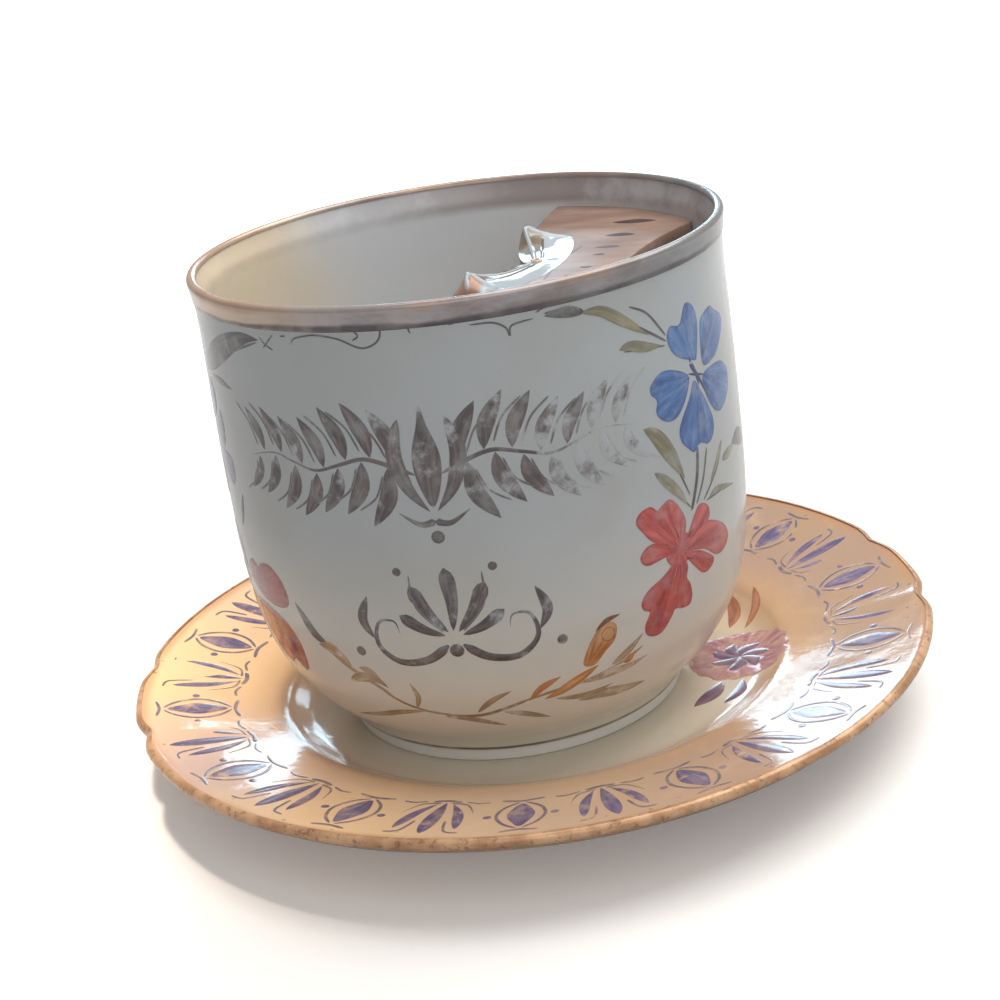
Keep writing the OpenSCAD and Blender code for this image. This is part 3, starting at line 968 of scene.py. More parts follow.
def handle_path(steps):
    return curve([(BODY_R + (HANDLE_REACH - BODY_R) * out, HANDLE_LOW + (HANDLE_TOP - HANDLE_LOW) * up)
                  for out, up in HANDLE_SHARES], steps)


def build_handle():
    path = handle_path(12)
    sizes = curve([(s, 0) for s in HANDLE_SIZES], 12)[:, 0]
    keep = path[:, 0] > BODY_R - HANDLE_SUNK
    verts, faces = sweep(path[keep], HANDLE_W, HANDLE_T, sizes[keep], 32, CUP)
    handle = new_piece("loop_handle", verts, faces, "cup", bpy.data.materials["cup_glaze"])
    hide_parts("handle")


def build_thumb_rest():
    """The spur that stands on the handle's top."""
    coarse = handle_path(5)
    root = coarse[int(len(coarse) * 0.2)]
    path = curve([root + np.array((THUMB_L * a, HANDLE_T / 2 + THUMB_L * b)) for a, b in THUMB_SHARES], 10)
    sizes = curve([(s, 0) for s in THUMB_SIZES], 10)[:, 0]
    along = np.linspace(-3, 1, len(path))
    round_tip = np.sqrt(np.clip(1 - along ** 6, 0.02, 1))
    sizes = sizes * np.where(along > 0, round_tip, 1)
    verts, faces = sweep(path, THUMB_W, THUMB_T, sizes, 28, CUP)
    thumb = new_piece("thumb_spur", verts, faces, "cup", bpy.data.materials["cup_glaze"])
    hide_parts("thumb_rest")


# The saucer
def dish_turn(turn, r, z):
    """The two bracket lobes: the outline draws in at a dip on each side of a lobe."""
    near = 9
    for side in (0, 180):
        for dip in (-DIP_TURN, DIP_TURN):
            off = (math.degrees(turn) - LOBE_TURN - side - dip + 180) % 360 - 180
            near = min(near, abs(off) / DIP_W)
    pull = DIP_DEPTH * max(0, 1 - near) ** 1.4 * float(smooth_step((r - DIP_START_R) / DIP_REACH))
    return r - pull, z


def build_saucer():
    """The dish, the ring under it and the gilding on its edge."""
    under = [(r + DISH_T * 0.35, z - DISH_T * (1 - 0.15 * (r - WELL_R) / (DISH_R - WELL_R)))
             for r, z in DISH if r < DISH_R - 3 * EDGE_ROUND]
    middle = (DISH_R - EDGE_ROUND, EDGE_H - EDGE_ROUND)
    edge = arc(middle, EDGE_ROUND, 75, -80, 16)
    flat = [(0, 0), (20, 0), (WELL_R - 2, 0)]
    outline = np.concatenate([flat, DISH, edge, under[::-1], [(30, -DISH_T), (0, -DISH_T)]])
    verts, faces = revolve(outline[::-1], DISH_SIDES, (0, 0, CUP_Z), dish_turn)
    dish = new_piece("saucer_dish", verts, faces, "saucer", saucer_lustre(), sharp_angle=50)
    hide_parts("saucer")

    ring = ring_outline(RING_R, DISH_FOOT_W, RING_H + 0.3)
    verts, faces = revolve(ring, CUP_SIDES, (0, 0, 0))
    foot = new_piece("saucer_foot", verts, faces, "saucer", bpy.data.materials["saucer_lustre"],
                     sharp_angle=60)
    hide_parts("saucer_foot_ring")

    outer = arc(middle, EDGE_ROUND + GILD_T, 100, -80, 18)
    inner = arc(middle, EDGE_ROUND - GILD_SUNK, 100, -80, 18)
    verts, faces = revolve(np.concatenate([outer, inner[::-1]])[::-1], DISH_SIDES, (0, 0, CUP_Z), dish_turn)
    gilt = new_piece("saucer_gilt_edge", verts, faces, "saucer", edge_gilding(), sharp_angle=60)
    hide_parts("saucer_rim_gilding")


build_cup()
build_cup_foot()
build_lip_gilding()
build_guard()
build_crest()
build_boss()
build_handle()
build_thumb_rest()
build_saucer()


# The painting on the cup, in (mm round the side, height) or (degrees, height)
BLUE_PETALS = [
    [(-13.5, 64.5), (-18, 66.5), (-19.8, 69.5), (-18.8, 71.6), (-16.3, 71.3), (-14.3, 74), (-12, 73),
     (-11.2, 70), (-12.5, 65)],
    [(-11, 63.2), (-10.5, 69.5), (-8.5, 71), (-6, 71.3), (-4.5, 70.3), (-1.5, 68.5), (-1.6, 66.5),
     (-4.5, 64), (-7.5, 62.8)],
    [(-11.5, 61.3), (-8, 62), (-4, 61.5), (-1.2, 59.5), (-0.8, 58), (-2, 55.5), (-5, 54),
     (-7, 53.8), (-9, 55), (-11, 58)],
    [(-14.2, 61.5), (-16, 59), (-19, 55.5), (-19.2, 53), (-17.5, 51), (-16, 50), (-14.2, 50.9),
     (-12, 50), (-10, 50.8), (-9.3, 53), (-10.5, 56), (-12.3, 59)],
    [(-15.5, 62.6), (-18.5, 64.5), (-22, 65.2), (-24.5, 63.8), (-24.7, 62.3), (-23.6, 61),
     (-24, 59), (-22.5, 57.3), (-20.2, 56.8), (-18, 58), (-16, 60.5)]]
BLUE_MIDDLE = (-13.2, 62.4)
RED_PETALS = [
    [(-27.5, 36), (-25.5, 39.5), (-27.5, 43), (-29.8, 44.6), (-32.3, 44), (-33.3, 43.6),
     (-35, 44.7), (-37.8, 44.3), (-39, 42.8), (-37.5, 40.8), (-35.3, 38.7), (-31, 36.5)],
    [(-28, 36.8), (-33, 38.2), (-36.5, 38.4), (-38.6, 37.2), (-38.5, 35.9), (-36.8, 35),
     (-33, 35.2), (-29.5, 35.4)],
    [(-26, 36), (-22, 40.5), (-19.8, 41.1), (-17.6, 40), (-17.2, 38.2), (-20, 36.5)],
    [(-26.5, 35), (-21, 37.8), (-17, 37.3), (-12, 35.3), (-9.4, 33), (-9.6, 31.4), (-12, 30.3),
     (-15.5, 30.6), (-20, 33)],
    [(-26.5, 34), (-22, 33.5), (-17, 31), (-16.3, 29.8), (-18, 28.9), (-20.5, 28.9), (-23, 30.5)],
    [(-29.5, 34), (-33, 32.3), (-37.5, 30.8), (-39.3, 29), (-38.8, 27.6), (-37.3, 26.8),
     (-38.5, 24.8), (-38.2, 23), (-36, 22), (-33.5, 22.3), (-31, 24.3), (-30, 25.3),
     (-27.5, 24.7), (-25.3, 24.8), (-24.6, 26.3), (-25.2, 28.5), (-26.3, 30), (-25.8, 32),
     (-27.5, 34.2)]]
RED_MIDDLE = (-27.8, 35.3)
LEFT_PETALS = [
    [(-140, 33.5), (-138, 36.5), (-134.5, 38), (-131.5, 37.2), (-129.5, 38.2), (-125.5, 38.8),
     (-121.5, 37), (-120, 34), (-121.5, 31.8), (-127, 31), (-134, 31.5)],
    [(-139, 29.5), (-131, 30.2), (-124, 28.8), (-120.3, 25.5), (-120.5, 21), (-123, 19.2),
     (-126, 20.8), (-129, 19.4), (-133, 20.2), (-136.5, 24)],
    [(-141, 34.5), (-142, 39), (-145, 42), (-148.5, 41.3), (-149.5, 38.8), (-147, 36)],
    [(-142, 32.5), (-147, 34.4), (-151.5, 33.6), (-152.5, 31.2), (-149, 29.6), (-145, 30)],
    [(-141.5, 29.5), (-142, 25), (-145.2, 22.4), (-148.6, 23.4), (-148.6, 26.6), (-145.6, 29)]]
LEFT_MIDDLE = (-141, 32)
# The left spray's flower mirrors the blue flower. It is painted a darker grey violet, as painted shade on the
# cup's shaded side.
LEFT_BLUE_PETALS = [
    [(-147, 60), (-143, 61.5), (-137.5, 63.5), (-136.5, 60.5), (-139, 57), (-144, 56.5)],
    [(-147, 58), (-142, 56.5), (-135.5, 56), (-134.5, 53), (-137.5, 50.5),
     (-143, 51.5), (-147, 55)],
    [(-148.5, 61), (-146.5, 66), (-142.5, 68.4), (-139.5, 66.6), (-141, 63), (-145.5, 60.8)],
    [(-150, 60.5), (-152.5, 66), (-156.5, 68.6), (-160, 66.2), (-158.5, 62.6), (-153, 60.2)],
    [(-150.5, 58), (-157, 59), (-161.5, 57), (-161, 53.2), (-156.5, 52.6), (-152, 55)],
    [(-149, 56.5), (-151.8, 52), (-150.8, 47.6), (-147.2, 46.8), (-145.4, 49.4), (-146.8, 54)]]
LEFT_BLUE_MIDDLE = (-149, 58.6)


def paint_blue_flower():
    blue = Painting("blue_flower", on_cup, seed=11)
    blue.petals(BLUE_PETALS, BLUE_MIDDLE)
    blue.done(paint("blue_enamel", (72, 120, 180), (38, 74, 144), pale=(104, 146, 196), pool=0.6), "cup")
    veins = Painting("blue_flower_veins", on_cup, seed=12, lift=0.11)
    ends = [((-14.6, 64.5), (-15.8, 70.5)), ((-11, 64.8), (-5.8, 68.6)), ((-10.8, 60.6), (-4, 57.8)),
            ((-13.8, 60.5), (-14.3, 53)), ((-15.3, 62.2), (-21.6, 61.6))]
    for start, end in ends:
        middle = ((start[0] + end[0]) / 2 + 0.3, (start[1] + end[1]) / 2 + 0.3)
        veins.stroke([start, middle, end], 0.5, "tail")
    veins.stroke([(-14.8, 64.3), (-12.9, 61.8), (-11.2, 59), (-9, 55.6)], 0.75, "tail")
    veins.stroke([(-14.2, 64.4), (-13.4, 62.4), (-12.8, 60.2)], 0.6, "leaf")
    veins.stroke([(-15.6, 62.9), (-13.4, 62.2), (-10.9, 61.4)], 0.5, "leaf")
    veins.done(paint("blue_vein_enamel", (44, 66, 112), (30, 44, 84), ground=(60, 100, 160)), "cup")


def paint_red_flowers():
    red = Painting("red_flower", on_cup, seed=21, degrees=True)
    red.petals(RED_PETALS + [oval(RED_MIDDLE, 4.4, 2.8)], RED_MIDDLE)
    red.done(paint("red_enamel", (196, 90, 84), (160, 56, 58), pale=(208, 116, 106), pool=0.6), "cup")
    # Painted shade: the left flower is the same red, painted darker for the cup's shaded side.
    red = Painting("red_flower_left", on_cup, seed=23, degrees=True)
    red.petals(LEFT_PETALS, LEFT_MIDDLE)
    red.done(paint("shaded_red_enamel", (164, 58, 54), (128, 38, 42), pale=(182, 88, 80), pool=0.6), "cup")
    shades = Painting("red_flower_veins", on_cup, seed=22, lift=0.11, degrees=True)
    for line in ([(-28, 37), (-29.5, 40), (-33, 42.5)], [(-29, 36), (-33, 36.8), (-36.6, 36.8)],
                 [(-26, 36.5), (-22.5, 38), (-19.5, 39)], [(-26, 34.8), (-20, 34.8), (-13, 33)],
                 [(-26.6, 33.6), (-22, 31.8), (-19, 30.2)], [(-28.6, 33.4), (-31, 29), (-35.2, 25)],
                 [(-28.2, 33), (-28.4, 30), (-27.4, 26.6)], [(-140, 33.4), (-133, 34.6), (-125, 35.2)],
                 [(-139, 29), (-131, 26.6), (-125, 22.8)]):
        shades.stroke(line, 0.7, "tail")
    shades.done(paint("red_vein_enamel", (150, 46, 48), (122, 34, 38), ground=(190, 84, 78)), "cup")


def paint_left_blue_flower():
    # Painted shade: a darker grey violet stands for the blue flower in shade.
    violet = Painting("left_blue_flower", on_cup, seed=31, degrees=True)
    violet.petals(LEFT_BLUE_PETALS, LEFT_BLUE_MIDDLE)
    violet.done(paint("shaded_blue_enamel", (120, 116, 150), (84, 80, 118), pale=(148, 146, 172)), "cup")


def paint_olive_leaves():
    olive = Painting("olive_leaves", on_cup, seed=41, degrees=True)
    olive.strokes("leaf", (
        ([(-34.5, 57.4), (-31.5, 55.6), (-28, 51.5), (-24.6, 46.6)], 2.9),
        ([(-33, 49.8), (-30.5, 48), (-27, 45), (-24.4, 42)], 2.0),
        ([(-17.2, 41), (-14, 41.7), (-10, 41), (-5, 40)], 1.2),
        ([(-38, 70.9), (-35.5, 71), (-31, 69.9), (-27, 69.3)], 1.9),
        ([(-9, 49), (-12.5, 45.8), (-16, 43.6)], 1.3),
        ([(-45.5, 78.2), (-41, 77.6), (-36, 75), (-30, 71.6)], 2.0),
        ([(-9.8, 45.6), (-6, 45.9), (-2, 46.2)], 1.8)), lean=0.2)
    olive.done(paint("olive_enamel", (150, 144, 118), (116, 112, 92), pale=(176, 168, 134), thin=0.3), "cup")


def paint_dark_leaves():
    dark = Painting("dark_leaves", on_cup, seed=42, degrees=True)
    dark.strokes("leaf", (
        ([(-3.5, 46.5), (1, 46.6), (5, 45.6), (9, 44.4)], 3.2),
        ([(-53, 79), (-48.5, 78.9), (-44.5, 78.2)], 1.9),
        ([(-113.5, 78.4), (-119, 78.2), (-127, 76), (-136, 72.8), (-146, 69.5)], 4.3),
        ([(-117.8, 33.6), (-116, 31.4), (-113.4, 28.4), (-110, 27)], 2.0),
        ([(-132, 50), (-134, 47), (-136.5, 43.5)], 1.3),
        ([(-127, 68.8), (-133, 69.4), (-139, 69.4)], 1.2)), lean=-0.15)
    dark.strokes("line", (
        ([(-34.5, 77), (-30, 75), (-25.5, 70.5)], 0.45),
        ([(-44, 78), (-36, 75), (-30, 72), (-25.5, 69.6)], 0.5),
        ([(-45, 78), (-49, 79.4), (-53, 79.4)], 0.4),
        ([(-37, 70.4), (-30, 69.6), (-26, 69)], 0.35),
        ([(-19.3, 51), (-20.5, 46), (-23.4, 40.8)], 0.8),
        ([(-16, 49.6), (-18.4, 45), (-21.6, 41.4)], 0.5),
        ([(-9, 49), (-12, 45.5), (-19, 41.3)], 0.45),
        ([(-32, 49.5), (-27, 44.6), (-23.4, 41.3)], 0.4),
        ([(-34, 57), (-28, 51), (-23.4, 43.4)], 0.4),
        ([(-18, 41), (-10, 40.8), (-4.5, 39.9)], 0.35),
        ([(-114, 78), (-128, 74.4), (-146, 69)], 0.5)))
    dark.done(paint("dark_enamel", (98, 96, 94), (66, 64, 66), pale=(124, 120, 112), wear=0.25, metallic=0.2),
              "cup")


def paint_garland():
    """The worn gold spray round the foot of the painting."""
    gold = Painting("gold_garland", on_cup, seed=51, degrees=True)
    gold.strokes("line", (
        ([(-99, 19.6), (-95, 17), (-90, 15.2), (-84, 14.2)], 0.6),
        ([(-112, 27), (-106, 23.4), (-100, 20.4), (-97, 18.6)], 0.8),
        ([(-86, 14.2), (-80, 13.8), (-75, 14.2), (-66, 16.4)], 0.7),
        ([(-67, 16.2), (-60, 17.3), (-52, 18), (-44, 19.6), (-39, 21.2)], 0.6)))
    gold.strokes("leaf", (
        ([(-113, 26.6), (-110, 26.6), (-106.5, 24.6), (-105, 23)], 2.4),
        ([(-107, 20.4), (-103.5, 21.6), (-99.5, 21.6), (-97, 20)], 2.0),
        ([(-103, 23.6), (-100.4, 23), (-98, 20.6)], 1.5),
        ([(-90, 15.2), (-97, 14.4), (-104, 13), (-113, 11.4)], 1.2),
        ([(-86, 13.8), (-80, 13), (-72, 10.5)], 1.3),
        ([(-72, 14.2), (-67, 13), (-61, 11)], 1.3),
        ([(-78, 14.6), (-74, 17.2), (-69.5, 18.8)], 1.2),
        ([(-54.5, 13.7), (-49, 13.8), (-42, 13), (-36, 12.8)], 2.3),
        ([(-54, 17.6), (-47, 18), (-42, 18.2), (-37.5, 19)], 1.6),
        ([(-60, 15.4), (-53, 14.6), (-46, 15.4)], 1.2),
        ([(-47, 19.6), (-43, 21.2), (-39, 23.6)], 1.4),
        ([(-92, 15.8), (-90.5, 18.6), (-91.5, 21.4)], 1.0)), lean=0.15)
    gold.done(paint("garland_gold", (184, 162, 130), (150, 126, 98), pale=(204, 186, 156), wear=0.5,
                    metallic=0.2, rough=0.2, ground=(212, 208, 198), thin=0.4), "cup")


def paint_bud():
    amber = Painting("amber_bud", on_cup, seed=52, degrees=True)
    amber.petal([(-53.5, 21.2), (-51, 20.6), (-48.4, 22.6), (-46, 24.4), (-45.6, 27),
                 (-48, 28), (-50.4, 26.6), (-52.4, 24)], (-53, 20.4))
    amber.strokes("leaf", (
        ([(-62.5, 15.8), (-59, 16.8), (-54.6, 18.6), (-50, 20.4)], 1.9),
        ([(-44, 19.2), (-42.6, 19.6), (-41.2, 20.6)], 1.4),
        ([(-66, 16), (-63, 18.4), (-58.6, 20)], 1.3)))
    amber.done(paint("amber_lustre", (212, 160, 104), (170, 112, 66), pale=(226, 188, 140), wear=0.2,
                     metallic=0.3, rough=0.2, ground=(200, 195, 183)), "cup")
    tips = Painting("bud_lines", on_cup, seed=53, lift=0.12, degrees=True)
    ring = oval((-47.6, 25.7), 1.5, 1.2)
    tips.stroke(ring + ring[:1], 0.45, "line")
    tips.stroke([(-50.4, 26.8), (-47.8, 28.2), (-44.6, 28.6)], 0.9, "leaf")
    tips.stroke([(-52.4, 21.6), (-50.4, 23.4), (-48.8, 24.6)], 0.4, "line")
    tips.done(paint("bud_line_enamel", (112, 84, 60), (84, 62, 48), ground=(190, 150, 110)), "cup")


def paint_scrolls():
    """The hairline scroll below the lip."""
    lines = Painting("hairline_scroll", on_cup, seed=61, degrees=True)
    for line in ([(-113, 79), (-111.6, 77.8), (-109.6, 77)],
                 [(-112.4, 77.2), (-110.6, 78.4), (-108.8, 79.6)],
                 [(-104.6, 78.1), (-103.6, 79.1), (-101, 79.6), (-98, 79.8), (-93.4, 79.2), (-89, 77.7),
                  (-86, 78.2), (-84.6, 79.4), (-84.6, 80.6), (-86.6, 80.9), (-88.4, 80.2)],
                 [(-91.6, 80.3), (-90.2, 80.6), (-89, 79.6), (-90.4, 78.9)],
                 [(-78.6, 79.4), (-78.6, 80.5), (-75, 80.8)],
                 [(-67.5, 79.7), (-63, 79.5), (-60.6, 78.4), (-60, 77), (-59.4, 78.6), (-55, 79)],
                 [(-54.6, 79.8), (-53, 80.3), (-51, 80.4)]):
        lines.stroke(line, 0.36, "line")
    for place in ((-82, 80.4), (-71.4, 80.2), (-107, 79.4)):
        lines.stroke([place, (place[0] + 1.5, place[1] + 0.1)], 0.34, "line")
    lines.done(paint("hairline_enamel", (96, 94, 96), (72, 70, 74), wear=0.3), "cup")


# The ornament on the cup's front, in mm from its middle line
ORNAMENT_MIDDLE = -62.0
STEM = [(2, 57.4), (10, 60.2), (19, 58), (27, 60), (34, 58.6)]
LEAF_PAIRS = 7
LEAF_STEP = 4.25
PLUME_Z = 29.6
SILVER_FADE = (14, 34)


def both_ways(points):
    """A line to the right of the ornament's middle, and its mirror image."""
    return [[(ORNAMENT_MIDDLE + way * s, z) for s, z in points] for way in (1, -1)]


def paint_both_ways(painting, points, width, shape, lean=0):
    for line in both_ways(points):
        painting.stroke(line, width, shape, lean=lean)


def paint_spray(silver, stem, stem_z):
    """Two leafy stems that run out from a tuft of three leaves."""
    paint_both_ways(silver, [tuple(p) for p in stem[::6]], 0.9, "tail")
    for k in range(LEAF_PAIRS):
        s = 4.6 + LEAF_STEP * k
        size = 1 - 0.045 * k
        up = [(s, stem_z(s) + 0.4), (s + 0.8, stem_z(s) + 4.6 * size), (s + 3.8, stem_z(s) + 9.6 * size)]
        low = [(s + 1.6, stem_z(s + 1.6) - 0.4), (s + 2.2, stem_z(s) - 4.6 * size),
               (s + 5.4, stem_z(s) - 9.4 * size)]
        for leaf in (up, low):
            paint_both_ways(silver, leaf, 2.9 * size, "leaf", lean=0.1)
    paint_both_ways(silver, [(0.6, 51.4), (3.6, 55.5), (5, 61), (3.6, 66.4)], 2.7, "leaf", lean=-0.2)
    tuft = [(0, 52), (1.8, 56), (2.2, 60.5), (0.9, 65), (0, 68.4), (-0.9, 65), (-2.2, 60.5), (-1.8, 56)]
    silver.petal([(ORNAMENT_MIDDLE + s, z) for s, z in tuft], (ORNAMENT_MIDDLE, 50))
    paint_both_ways(silver, [(0, 49.8), (2.4, 49.4), (5.6, 51.4)], 1.3, "tail")
    silver.dot((ORNAMENT_MIDDLE, 47.2), 1.1)


def paint_plume(silver):
    """Five drops that fan out over a pair of scrolls."""
    for turn, length, width in ((90, 12.5, 3.0), (58, 11.4, 2.8), (28, 9.6, 2.5)):
        c = math.cos(math.radians(turn))
        s = math.sin(math.radians(turn))
        drop = [(1.6 * c, PLUME_Z + 1.6 * s),
                (length * 0.55 * c + s * 0.5, PLUME_Z + length * 0.55 * s - c * 0.5),
                (length * c, PLUME_Z + length * s)]
        lines = both_ways(drop)
        if turn == 90:
            lines = lines[:1]
        for line in lines:
            silver.stroke(line, width, "drop")
    scroll = [(1.2, 28.6), (5, 26), (10, 25.6), (13.2, 28.6), (12.4, 32.6), (9.6, 33), (9, 30.8)]
    paint_both_ways(silver, scroll, 1.7, "tail")
    paint_both_ways(silver, [(13.6, 29.6), (15.2, 33), (13.6, 37.2)], 1.8, "leaf")
    silver.dot((ORNAMENT_MIDDLE, 27.6), 1.2)
    for s, z, r in ((17, 27, 0.9), (7.6, 41.6, 0.75)):
        for side in (-1, 1):
            silver.dot((ORNAMENT_MIDDLE + side * s, z), r)


def paint_ornament():
    """A plain brushed spray over a plume, in worn silver lustre."""
    stem = curve(STEM, 12)

    def stem_z(s):
        return float(np.interp(s, stem[:, 0], stem[:, 1]))

    silver = Painting("silver_ornament", on_cup, seed=71)
    paint_spray(silver, stem, stem_z)
    paint_plume(silver)
    silver.done(paint("silver_lustre", (112, 104, 104), (78, 72, 74), pale=(138, 128, 124), wear=0.42,
                      metallic=0.35, rough=0.22, fade=SILVER_FADE, streaks=1.3), "cup")

    hair = Painting("silver_hairlines", on_cup, seed=72, lift=0.1)
    for k in range(LEAF_PAIRS):
        s = 5.6 + LEAF_STEP * k
        z = stem_z(s)
        for line in ([(s + 0.6, z + 1.2), (s + 2.4, z + 5), (s + 5.6, z + 7.6)],
                     [(s + 1.6, z - 1.4), (s + 3.2, z - 5), (s + 6.4, z - 7.2)]):
            paint_both_ways(hair, line, 0.4, "line")
    paint_both_ways(hair, [(1.6, 31), (5.4, 35.5), (5.8, 41)], 0.4, "line")
    hair.done(paint("silver_hair_lustre", (118, 112, 110), (88, 84, 84), wear=0.45, fade=SILVER_FADE), "cup")


# The painting on the saucer and the guard
BORDER_R = 61.0
BORDER_COUNT = 28
BORDER_GROUND = (226, 188, 152)


def on_ring(turn, points, side=1):
    """(mm across, mm out from the border's middle line) at a place on the saucer's border."""
    c = math.cos(turn)
    s = math.sin(turn)
    return [((BORDER_R + out) * c - side * across * s, (BORDER_R + out) * s + side * across * c)
            for across, out in points]


def border_bud(thick, thin, turn):
    thick.stroke(on_ring(turn, [(0, -6.6), (0, -1), (0, 7)]), 2.6, "leaf", lean=-0.25)
    for side in (-1, 1):
        thick.stroke(on_ring(turn, [(1.3, -6), (3.5, -1.4), (5.0, 5)], side), 1.8, "leaf", lean=-0.2)
        thin.stroke(on_ring(turn, [(0.8, -6.4), (3.8, -5.6), (5.9, -1.6)], side), 0.55, "tail")
        thin.stroke(on_ring(turn, [(2.4, 1.6), (3.6, 6), (6.0, 6.6)], side), 0.5, "line")
        thin.stroke(on_ring(turn, [(3.2, -7), (5.4, -6.4), (7.2, -6.9)], side), 0.5, "line")
    thin.stroke(on_ring(turn, [(-2.4, -7), (0, -7.5), (2.4, -7)]), 0.8, "line")


def border_lozenge(thick, thin, turn):
    lozenge = [(0, -5), (1.6, -2.3), (2.2, 0.4), (1.4, 3.2), (0, 5.6), (-1.4, 3.2), (-2.2, 0.4), (-1.6, -2.3)]
    thick.petal(on_ring(turn, lozenge), on_ring(turn, [(0, -5.4)])[0])
    for side in (-1, 1):
        thin.stroke(on_ring(turn, [(0.4, 6.2), (2.6, 4), (3.8, 0.4), (2.8, -3.2), (0.4, -5.6)], side),
                    0.6, "line")
        thick.dot(on_ring(turn, [(5.2, 0.4)], side)[0], 0.7)
    thin.stroke(on_ring(turn, [(-3.4, -6.9), (0, -6.2), (3.4, -6.9)]), 0.7, "line")
    thin.stroke(on_ring(turn, [(-3, 7.4), (0, 6.9), (3, 7.4)]), 0.6, "line")


def paint_border():
    """A border of buds and lozenges in violet blue, all the way round."""
    thick = Painting("border_buds", on_dish, seed=81)
    thin = Painting("border_lines", on_dish, seed=82, lift=0.1)
    for k in range(BORDER_COUNT):
        figure = border_bud if k % 2 else border_lozenge
        figure(thick, thin, TURN * (k + 0.3) / BORDER_COUNT)
    thick.done(paint("violet_border_enamel", (126, 114, 148), (94, 84, 124), pale=(168, 152, 164),
                     ground=BORDER_GROUND, wear=0.3, thin=0.4), "saucer")
    thin.done(paint("grey_border_enamel", (128, 122, 134), (104, 98, 116), ground=BORDER_GROUND,
                    wear=0.35, thin=0.4), "saucer")


FLOWER_X = 36.4
FLOWER_Y = 8.4


def round_flower(r, turn):
    """A place at a distance and a turn from the saucer flower's middle."""
    return (FLOWER_X + r * math.cos(turn), FLOWER_Y + r * math.sin(turn))


def paint_saucer_flower():
    """The pink and purple flower on the saucer, beside the cup."""
    middle = (FLOWER_X, FLOWER_Y)
    wash = Painting("saucer_flower_wash", on_dish, seed=90, lift=0.04)
    wash.petal([round_flower(9.0 + 0.5 * math.sin(5 * k), TURN * k / 14) for k in range(14)], middle)
    wash.done(paint("pink_wash_enamel", (198, 152, 146), (178, 126, 130), ground=(208, 176, 142),
                    pool=0.3, thin=0.7), "saucer")

    pink = Painting("saucer_flower", on_dish, seed=91, lift=0.08)
    shape = [(0.6, -1.3), (0.62, -2.9), (0.85, -3.5), (1.0, -1.8), (0.94, 0), (1.0, 1.8), (0.84, 3.5),
             (0.6, 2.9), (0.5, 1.3), (0.16, 0)]
    for k in range(8):
        c = math.cos(TURN * k / 8 + 0.35)
        s = math.sin(TURN * k / 8 + 0.35)
        reach = 9.2 + 0.5 * math.sin(3 * k)
        pink.petal([(FLOWER_X + reach * u * c - v * s, FLOWER_Y + reach * u * s + v * c)
                    for u, v in shape], middle)
    pink.done(paint("pink_enamel", (190, 136, 132), (160, 106, 112), pale=(206, 164, 150),
                    ground=(210, 176, 146), pool=0.3, thin=0.6), "saucer")

    heart = Painting("saucer_flower_heart", on_dish, seed=92, lift=0.14)
    for k in range(7):
        turn = TURN * k / 7 + 0.1
        heart.stroke([middle, round_flower(3.0, turn + 0.4), round_flower(5.6, turn)], 2.6, "leaf")
    heart.strokes("leaf", (
        ([(35.5, -1), (34.8, -6), (32.6, -11)], 3.0),
        ([(39, -0.6), (39.4, -5), (37.6, -9.6)], 2.2)))
    heart.done(paint("purple_enamel", (138, 110, 124), (108, 82, 104), ground=(190, 148, 140), thin=0.5,
                     pool=0.35), "saucer")

    leaves = Painting("saucer_leaves", on_dish, seed=93)
    leaves.strokes("leaf", (
        ([(32, 20), (31.8, 25.5), (29.5, 32)], 2.6),
        ([(35, 19.6), (36, 25.6), (34.4, 32)], 1.9)))
    leaves.done(paint("rust_enamel", (186, 124, 82), (146, 86, 58), ground=(214, 176, 146)), "saucer")


GUARD_ROW_X = 23.7


def paint_guard():
    """Dark lens strokes across the guard's plate, and a thin line along each wing."""
    marks = Painting("guard_strokes", on_guard, seed=95, lift=0.05)
    for y, length, width in ((26.4, 8, 3), (16.8, 5.5, 2.4), (8.8, 4.5, 2), (3.7, 2.2, 1.2)):
        for side in (-1, 1):
            marks.stroke([(GUARD_ROW_X - length / 2, side * y), (GUARD_ROW_X, side * (y + 0.3)),
                          (GUARD_ROW_X + length / 2, side * y)], width, "leaf")
    marks.done(paint("guard_stroke_enamel", (58, 44, 46), (38, 28, 32), ground=(140, 112, 100), wear=0.05,
                     rough=0.34, specular=0.15), "cup")
    thin = Painting("guard_line", on_guard, seed=96, lift=0.04)
    for side in (-1, 1):
        thin.stroke([(17.8, side * 0.6), (17.9, side * 3.7), (18.5, side * 7.6), (18.7, side * 11)],
                    0.5, "line")
    thin.done(paint("guard_line_lustre", (112, 82, 70), (86, 62, 54), ground=(158, 130, 118), rough=0.34,
                    specular=0.15), "cup")


paint_blue_flower()
paint_red_flowers()
paint_left_blue_flower()
paint_olive_leaves()
paint_dark_leaves()
paint_garland()
paint_bud()
paint_scrolls()
paint_ornament()
paint_border()
paint_saucer_flower()
paint_guard()


# The plain floor, the soft lamps and the camera
MIRRORED_SHARE = 0.42
WINDOW = (-0.41, 1.12, 0.29)
PANE_ACROSS = 0.062
PANE_UP = 0.075
AIM = (0, 0, 0.05)


def seen_plainly(nodes):
    """One for camera rays and a part of it for glossy and transmission rays: what they see is the pale
    background, softened in the glaze by the room round it."""
    rays = nodes.node("LightPath").outputs
    mirrored = nodes.sum("MAXIMUM", rays["Is Glossy Ray"], rays["Is Transmission Ray"])
    return nodes.sum("MAXIMUM", rays["Is Camera Ray"], nodes.times(mirrored, MIRRORED_SHARE))


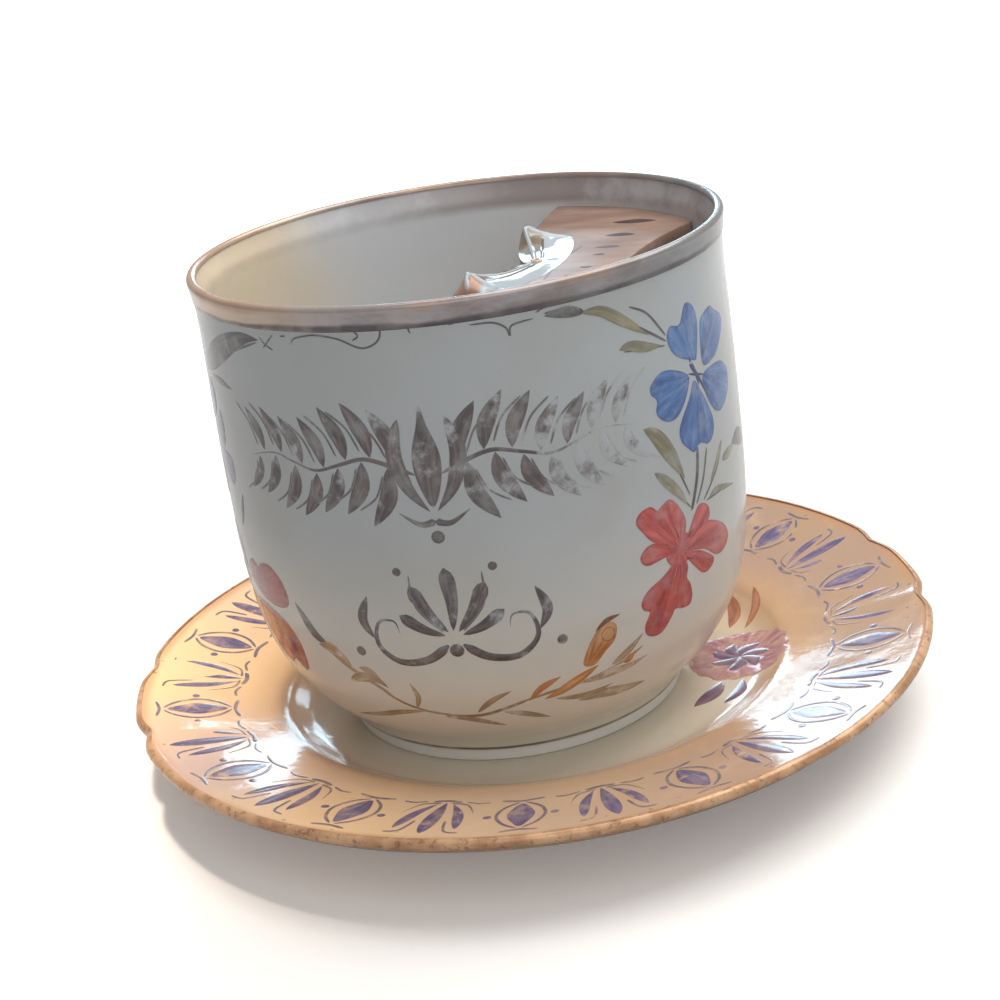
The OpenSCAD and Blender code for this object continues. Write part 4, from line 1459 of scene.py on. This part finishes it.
def build_floor():
    reach = 6.0
    mesh = bpy.data.meshes.new("floor")
    mesh.from_pydata([(-reach, -reach, 0), (reach, -reach, 0), (reach, reach, 0), (-reach, reach, 0)],
                     [], [(0, 1, 2, 3)])
    floor = add_object("floor", mesh)
    look = Look("floor_white", rough=0.7, specular=0.0)
    plain = seen_plainly(look)
    look.tone = look.mix(plain, (0.5, 0.5, 0.5, 1), (0.93, 0.93, 0.93, 1))
    look.put("Emission Color", (1, 1, 1, 1))
    look.put("Emission Strength", look.times(plain, look.ramp(look.radius(), 100, 360, 0.15, 1.0)))
    mesh.materials.append(look.done())


def build_room():
    """A dim room, brighter towards +X, behind the white that the camera sees."""
    world = bpy.data.worlds.new("studio")
    bpy.context.scene.world = world
    world.use_nodes = True
    nodes = Nodes(world.node_tree)
    way = nodes.node("TexCoord").outputs["Generated"]
    bright = nodes.sum("MULTIPLY_ADD", nodes.node("SeparateXYZ", way).outputs[0], 0.5, 0.5)
    room = nodes.mix(bright, (0.08, 0.075, 0.08, 1), (0.32, 0.35, 0.38, 1))
    back = world.node_tree.nodes["Background"]
    nodes.fill(back.inputs["Color"], nodes.mix(seen_plainly(nodes), room, (1, 1, 1, 1)))


def lamp(name, place, aim, size, watts, colour, spread=180):
    """A soft lamp that faces its aim, with its size in metres."""
    data = bpy.data.lights.new(name, "AREA")
    data.shape = "RECTANGLE"
    data.spread = math.radians(spread)
    data.size, data.size_y = size
    data.energy = watts
    data.color = colour
    held = add_object(name, data)
    held.location = place
    held.rotation_euler = (Vector(aim) - Vector(place)).to_track_quat("-Z", "Y").to_euler()


def build_lamps():
    lamp("key_lamp", (0.3, 0.42, 1.1), AIM, (1.2, 1.2), 17.0, (1, 0.95, 0.88))
    lamp("fill_lamp", (0.27, -0.57, 0.6), (0, 0, 0.03), (0.7, 0.7), 2.0, (1, 0.93, 0.86))
    lamp("left_lamp", (-0.075, -0.045, 0.75), (-0.085, -0.045, 0), (0.07, 0.07), 0.03, (1, 0.84, 0.68), 12)
    # A window of four panes behind the cup, which the glaze mirrors
    for across in (-PANE_ACROSS, PANE_ACROSS):
        for up in (-PANE_UP, PANE_UP):
            place = (WINDOW[0] + 0.94 * across, WINDOW[1] + 0.34 * across, WINDOW[2] + up)
            lamp("window_pane", place, AIM, (0.115, 0.138), 0.33, (0.6, 0.84, 1))
    lamp("side_window", (-0.15, 1.2, 0.49), AIM, (0.14, 0.14), 0.36, (0.62, 0.85, 1))
    lamp("room_lamp", (0.43, -1.12, 0.33), (0, 0, 0.09), (0.16, 0.05), 0.1, (0.85, 0.94, 1))


def build_camera():
    spin = Matrix.Rotation(math.radians(CAMERA_TURN), 3, "Z")
    yaw, pitch, roll = (math.radians(a) for a in (CAMERA_YAW, CAMERA_PITCH, CAMERA_ROLL))
    ahead = spin @ Vector((math.sin(yaw) * math.cos(pitch), math.cos(yaw) * math.cos(pitch),
                           -math.sin(pitch)))
    level = spin @ Vector((math.cos(yaw), -math.sin(yaw), 0))
    upright = level.cross(ahead)
    right = math.cos(roll) * level + math.sin(roll) * upright
    up = math.cos(roll) * upright - math.sin(roll) * level
    data = bpy.data.cameras.new("photo_camera")
    data.lens = CAMERA_LENS
    data.shift_x, data.shift_y = CAMERA_SHIFT
    camera = add_object("photo_camera", data)
    camera.matrix_world = Matrix((right, up, -ahead)).transposed().to_4x4()
    camera.location = Vector(CAMERA_PLACE) * MM
    bpy.context.scene.camera = camera


build_floor()
build_room()
build_camera()
build_lamps()
bpy.context.scene.view_settings.view_transform = "Standard"
